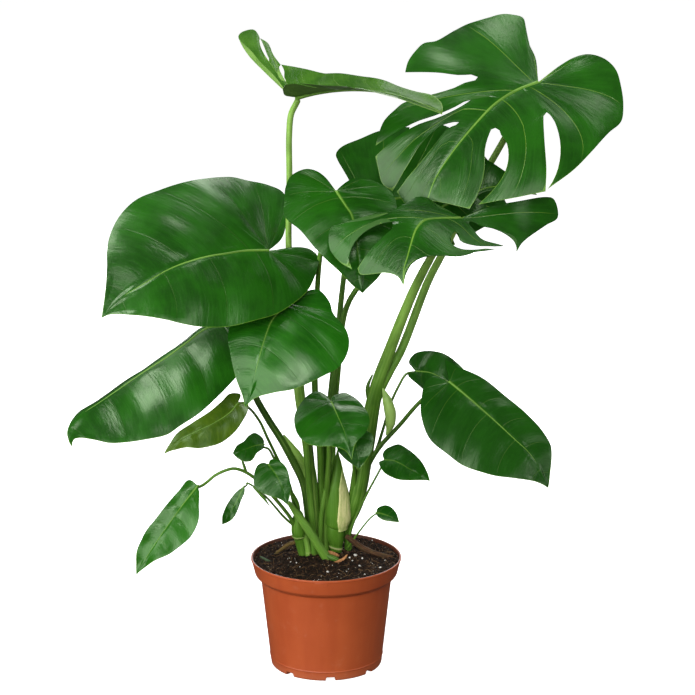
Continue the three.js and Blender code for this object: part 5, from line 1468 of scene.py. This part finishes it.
def ball(times):
    """A round ball of triangles: twenty faces, each in four as many times as asked."""
    golden = (1 + math.sqrt(5)) / 2
    points = [
        [-1, golden, 0], [1, golden, 0], [-1, -golden, 0], [1, -golden, 0], [0, -1, golden], [0, 1, golden],
        [0, -1, -golden], [0, 1, -golden], [golden, 0, -1], [golden, 0, 1], [-golden, 0, -1], [-golden, 0, 1],
    ]
    faces = [
        [0, 11, 5], [0, 5, 1], [0, 1, 7], [0, 7, 10], [0, 10, 11], [1, 5, 9], [5, 11, 4], [11, 10, 2],
        [10, 7, 6], [7, 1, 8], [3, 9, 4], [3, 4, 2], [3, 2, 6], [3, 6, 8], [3, 8, 9], [4, 9, 5], [2, 4, 11],
        [6, 2, 10], [8, 6, 7], [9, 8, 1],
    ]
    points, made = unit(np.array(points)).tolist(), {}

    def middle(a, b):
        key = (min(a, b), max(a, b))
        if key not in made:
            made[key] = len(points)
            points.append(unit(np.array(points[a]) + np.array(points[b])).tolist())
        return made[key]

    for _ in range(times):
        finer = []
        for a, b, c in faces:
            ab, bc, ca = middle(a, b), middle(b, c), middle(c, a)
            finer += [[a, ab, ca], [b, bc, ab], [c, ca, bc], [ab, bc, ca]]
        faces = finer
    return np.array(points), np.array(faces)


COARSE_BALL, FINE_BALL = ball(0), ball(1)


def add_crumb(shape, x, y, size, shade, sink, fine=True):
    """A lumpy bit on the soil, sunk in by a share of its size."""
    round_points, faces = FINE_BALL if fine else COARSE_BALL
    lumpy = np.array([1 + 0.38 * noise.noise(Vector(p * 1.7 + x)) for p in round_points])
    stretch = np.array([chance.uniform(0.7, 1.3), chance.uniform(0.7, 1.2), 0.7 * chance.uniform(0.7, 1.2)])
    turn = chance.uniform(0, 2 * math.pi)
    c, s = math.cos(turn), math.sin(turn)
    p = round_points * lumpy[:, None] * stretch * size / 2
    p = np.column_stack([c * p[:, 0] - s * p[:, 1], s * p[:, 0] + c * p[:, 1], p[:, 2]])
    p += [x, y, float(soil_top(np.array(x), np.array(y))) + size * (0.5 - sink)]
    shape.add(p, [faces], look=np.tile([shade, 0, 0], (len(p), 1)))


def scatter(reach=71.0):
    """A chance place on the soil."""
    r = reach * math.sqrt(chance.random())
    a = chance.uniform(0, 2 * math.pi)
    return r * math.cos(a), r * math.sin(a)


def soil_crumbs():
    """Lumps and grit all over the soil, and small heaps round the feet of the stems."""
    shape = Shape("look")
    for _ in range(330):
        add_crumb(shape, *scatter(), chance.uniform(1.4, 3.4), chance.choice([0, 0, 0, 0.04, 0.1]), sink=0.5)
    grit_shades = [0, 0, 0, 0, 0.05, 0.12, 0.3, 0.5]
    for _ in range(2400):
        place = scatter(72.8)
        size, shade = chance.uniform(0.5, 1.7), chance.choice(grit_shades)
        add_crumb(shape, *place, size, shade, fine=False, sink=0.35)
    for x, y, reach in STEM_FEET:
        for _ in range(26):
            turn = chance.uniform(0, 2 * math.pi)
            r = reach * chance.uniform(0.95, 1.35)
            size, shade = chance.uniform(0.9, 2.4), chance.choice([0, 0, 0.05, 0.2])
            place = x + r * math.cos(turn), y + r * math.sin(turn)
            add_crumb(shape, *place, size, shade, fine=False, sink=0.3)
    shape.build("soil_crumbs", SOIL, "potting_mix")


def perlite_bits():
    shape = Shape("look")
    for x, y, size in PERLITE_BITS:
        add_crumb(shape, x, y, size, 0, sink=0.25)
    for _ in range(40):
        add_crumb(shape, *scatter(), chance.uniform(0.4, 1.2), 0, sink=0.15)
    shape.build("perlite_bits", PERLITE, "potting_mix")


def root_fibres():
    """Thin bent fibres that lie on the soil, each as far as the pot's wall lets it."""
    shape, joints = Shape("skin", "look"), 6
    for _ in range(110):
        x, y = scatter(66)
        length, turn, bend = chance.uniform(4, 13), chance.uniform(0, 2 * math.pi), chance.uniform(-1.3, 1.3)
        path = []
        for s in np.linspace(0, 1, joints):
            angle = turn + bend * s
            x += length / (joints - 1) * math.cos(angle)
            y += length / (joints - 1) * math.sin(angle)
            if math.hypot(x, y) > 70:
                break
            lift = 1.2 * math.sin(math.pi * s) * chance.random()
            path.append([x, y, float(soil_top(np.array(x), np.array(y))) + 0.7 + lift])
        if len(path) > 3:
            add_stalk(shape, path, [0.12, chance.uniform(0.15, 0.28), 0.1], sides=5, step=2.0, seed=2)
    shape.build("root_fibres", FIBRE, "bark")


soil_crumbs()
perlite_bits()
root_fibres()


# ------------------------------------------------------------------ floor, light and camera, in metres
def floor_finish(w):
    shade = w.noise(w.position(), 0.7, 2, 0.5)
    return {"Base Color": shade.mix((244, 244, 243), (250, 250, 249)), "Roughness": 0.8 + shade * 0.1}


def pale_floor():
    """A wide pale disc just under the pot."""
    reach, count, depth = 40, 96, -0.0002
    glow = {"Emission Color": (255, 255, 255), "Emission Strength": 0.93}
    mesh = bpy.data.meshes.new("floor")
    turn = np.linspace(0, 2 * math.pi, count, endpoint=False)
    corners = [(reach * math.cos(a), reach * math.sin(a), depth) for a in turn]
    mesh.from_pydata(corners, [], [list(range(count))])
    mesh.materials.append(material("pale_floor", floor_finish, **glow))
    floor = bpy.data.objects.new("floor", mesh)
    bpy.context.scene.collection.objects.link(floor)
    floor.visible_diffuse = False
    floor.visible_glossy = False


def studio_world():
    """A white backdrop that lights the plant only softly."""
    world = bpy.data.worlds.new("studio")
    world.use_nodes = True
    world.node_tree.nodes.clear()
    sky = Wire(world.node_tree)
    shade = sky.node("ShaderNodeLightPath").mix((80, 80, 78), (255, 255, 255))
    backdrop = sky.node("ShaderNodeBackground", None, {"Color": shade, "Strength": 1.0})
    sky.node("ShaderNodeOutputWorld", None, {"Surface": backdrop})
    bpy.context.scene.world = world


def softbox(name, place, target, size, power):
    lamp = bpy.data.lights.new(name, "AREA")
    lamp.shape, lamp.size, lamp.size_y = "RECTANGLE", *size
    lamp.energy = power
    made = bpy.data.objects.new(name, lamp)
    made.location = place
    made.rotation_euler = (Vector(target) - Vector(place)).to_track_quat("-Z", "Y").to_euler()
    made.visible_camera = False
    bpy.context.scene.collection.objects.link(made)


pale_floor()
studio_world()

# name, place, what it points at, width and height, watts
for lamp in (
    ("key_box", (-1.05, -0.2, 2.15), (-0.1, 0, 0.35), (0.7, 0.8), 15),
    ("front_box", (-1.7, -2.3, 0.9), (0, 0, 0.2), (3.2, 2.4), 98),
    ("left_box", (-2.1, -0.7, 1.1), (0, 0, 0.35), (0.9, 0.9), 7),
    ("back_box", (0.2, 1.3, 2.2), (0, 0, 0.4), (0.9, 0.9), 15),
    ("back_left_box", (-1.2, 0.9, 2.2), (0, 0, 0.4), (0.9, 0.9), 4),
    ("right_box", (2.2, -0.5, 1.0), (0, 0, 0.3), (0.9, 0.9), 7),
    ("back_right_box", (1.5, 0.8, 1.8), (0, 0, 0.4), (0.9, 0.9), 5),
    ("upper_box", (0.3, -2.2, 2.1), (0, 0, 0.3), (1.0, 0.9), 9),
    ("low_box", (1.9, -2.0, 0.7), (0, 0, 0.3), (1.4, 1.2), 6),
    ("overhead_box", (0.16, -0.22, 3.1), (0.15, 0, 0.55), (0.32, 0.32), 3.2),
    ("near_front_box", (-0.08, -2.25, 1.58), (0.1, 0, 0.5), (0.75, 0.4), 10),
    ("upper_right_box", (0.92, -0.1, 2.3), (0.1, 0, 0.45), (0.35, 0.35), 1.6),
    ("upper_left_box", (-0.75, -1.3, 2.0), (-0.1, 0, 0.45), (0.28, 0.28), 1.4),
    ("rear_low_box", (0.2, 2.4, 0.6), (0, 0, 0.35), (1.6, 1.2), 22),
):
    softbox(*lamp)

lens = bpy.data.cameras.new("camera")
lens.sensor_width = SENSOR_WIDTH
lens.lens = FOCAL_PIXELS / PHOTO_PIXELS * SENSOR_WIDTH
lens.clip_start, lens.clip_end = 0.05, 100
camera = bpy.data.objects.new("camera", lens)
camera.location = (0.0218, -1.847, 0.751)
camera.rotation_euler = (math.radians(77.2), 0, 0)
bpy.context.scene.collection.objects.link(camera)
bpy.context.scene.camera = camera
bpy.context.scene.view_settings.view_transform = "Standard"
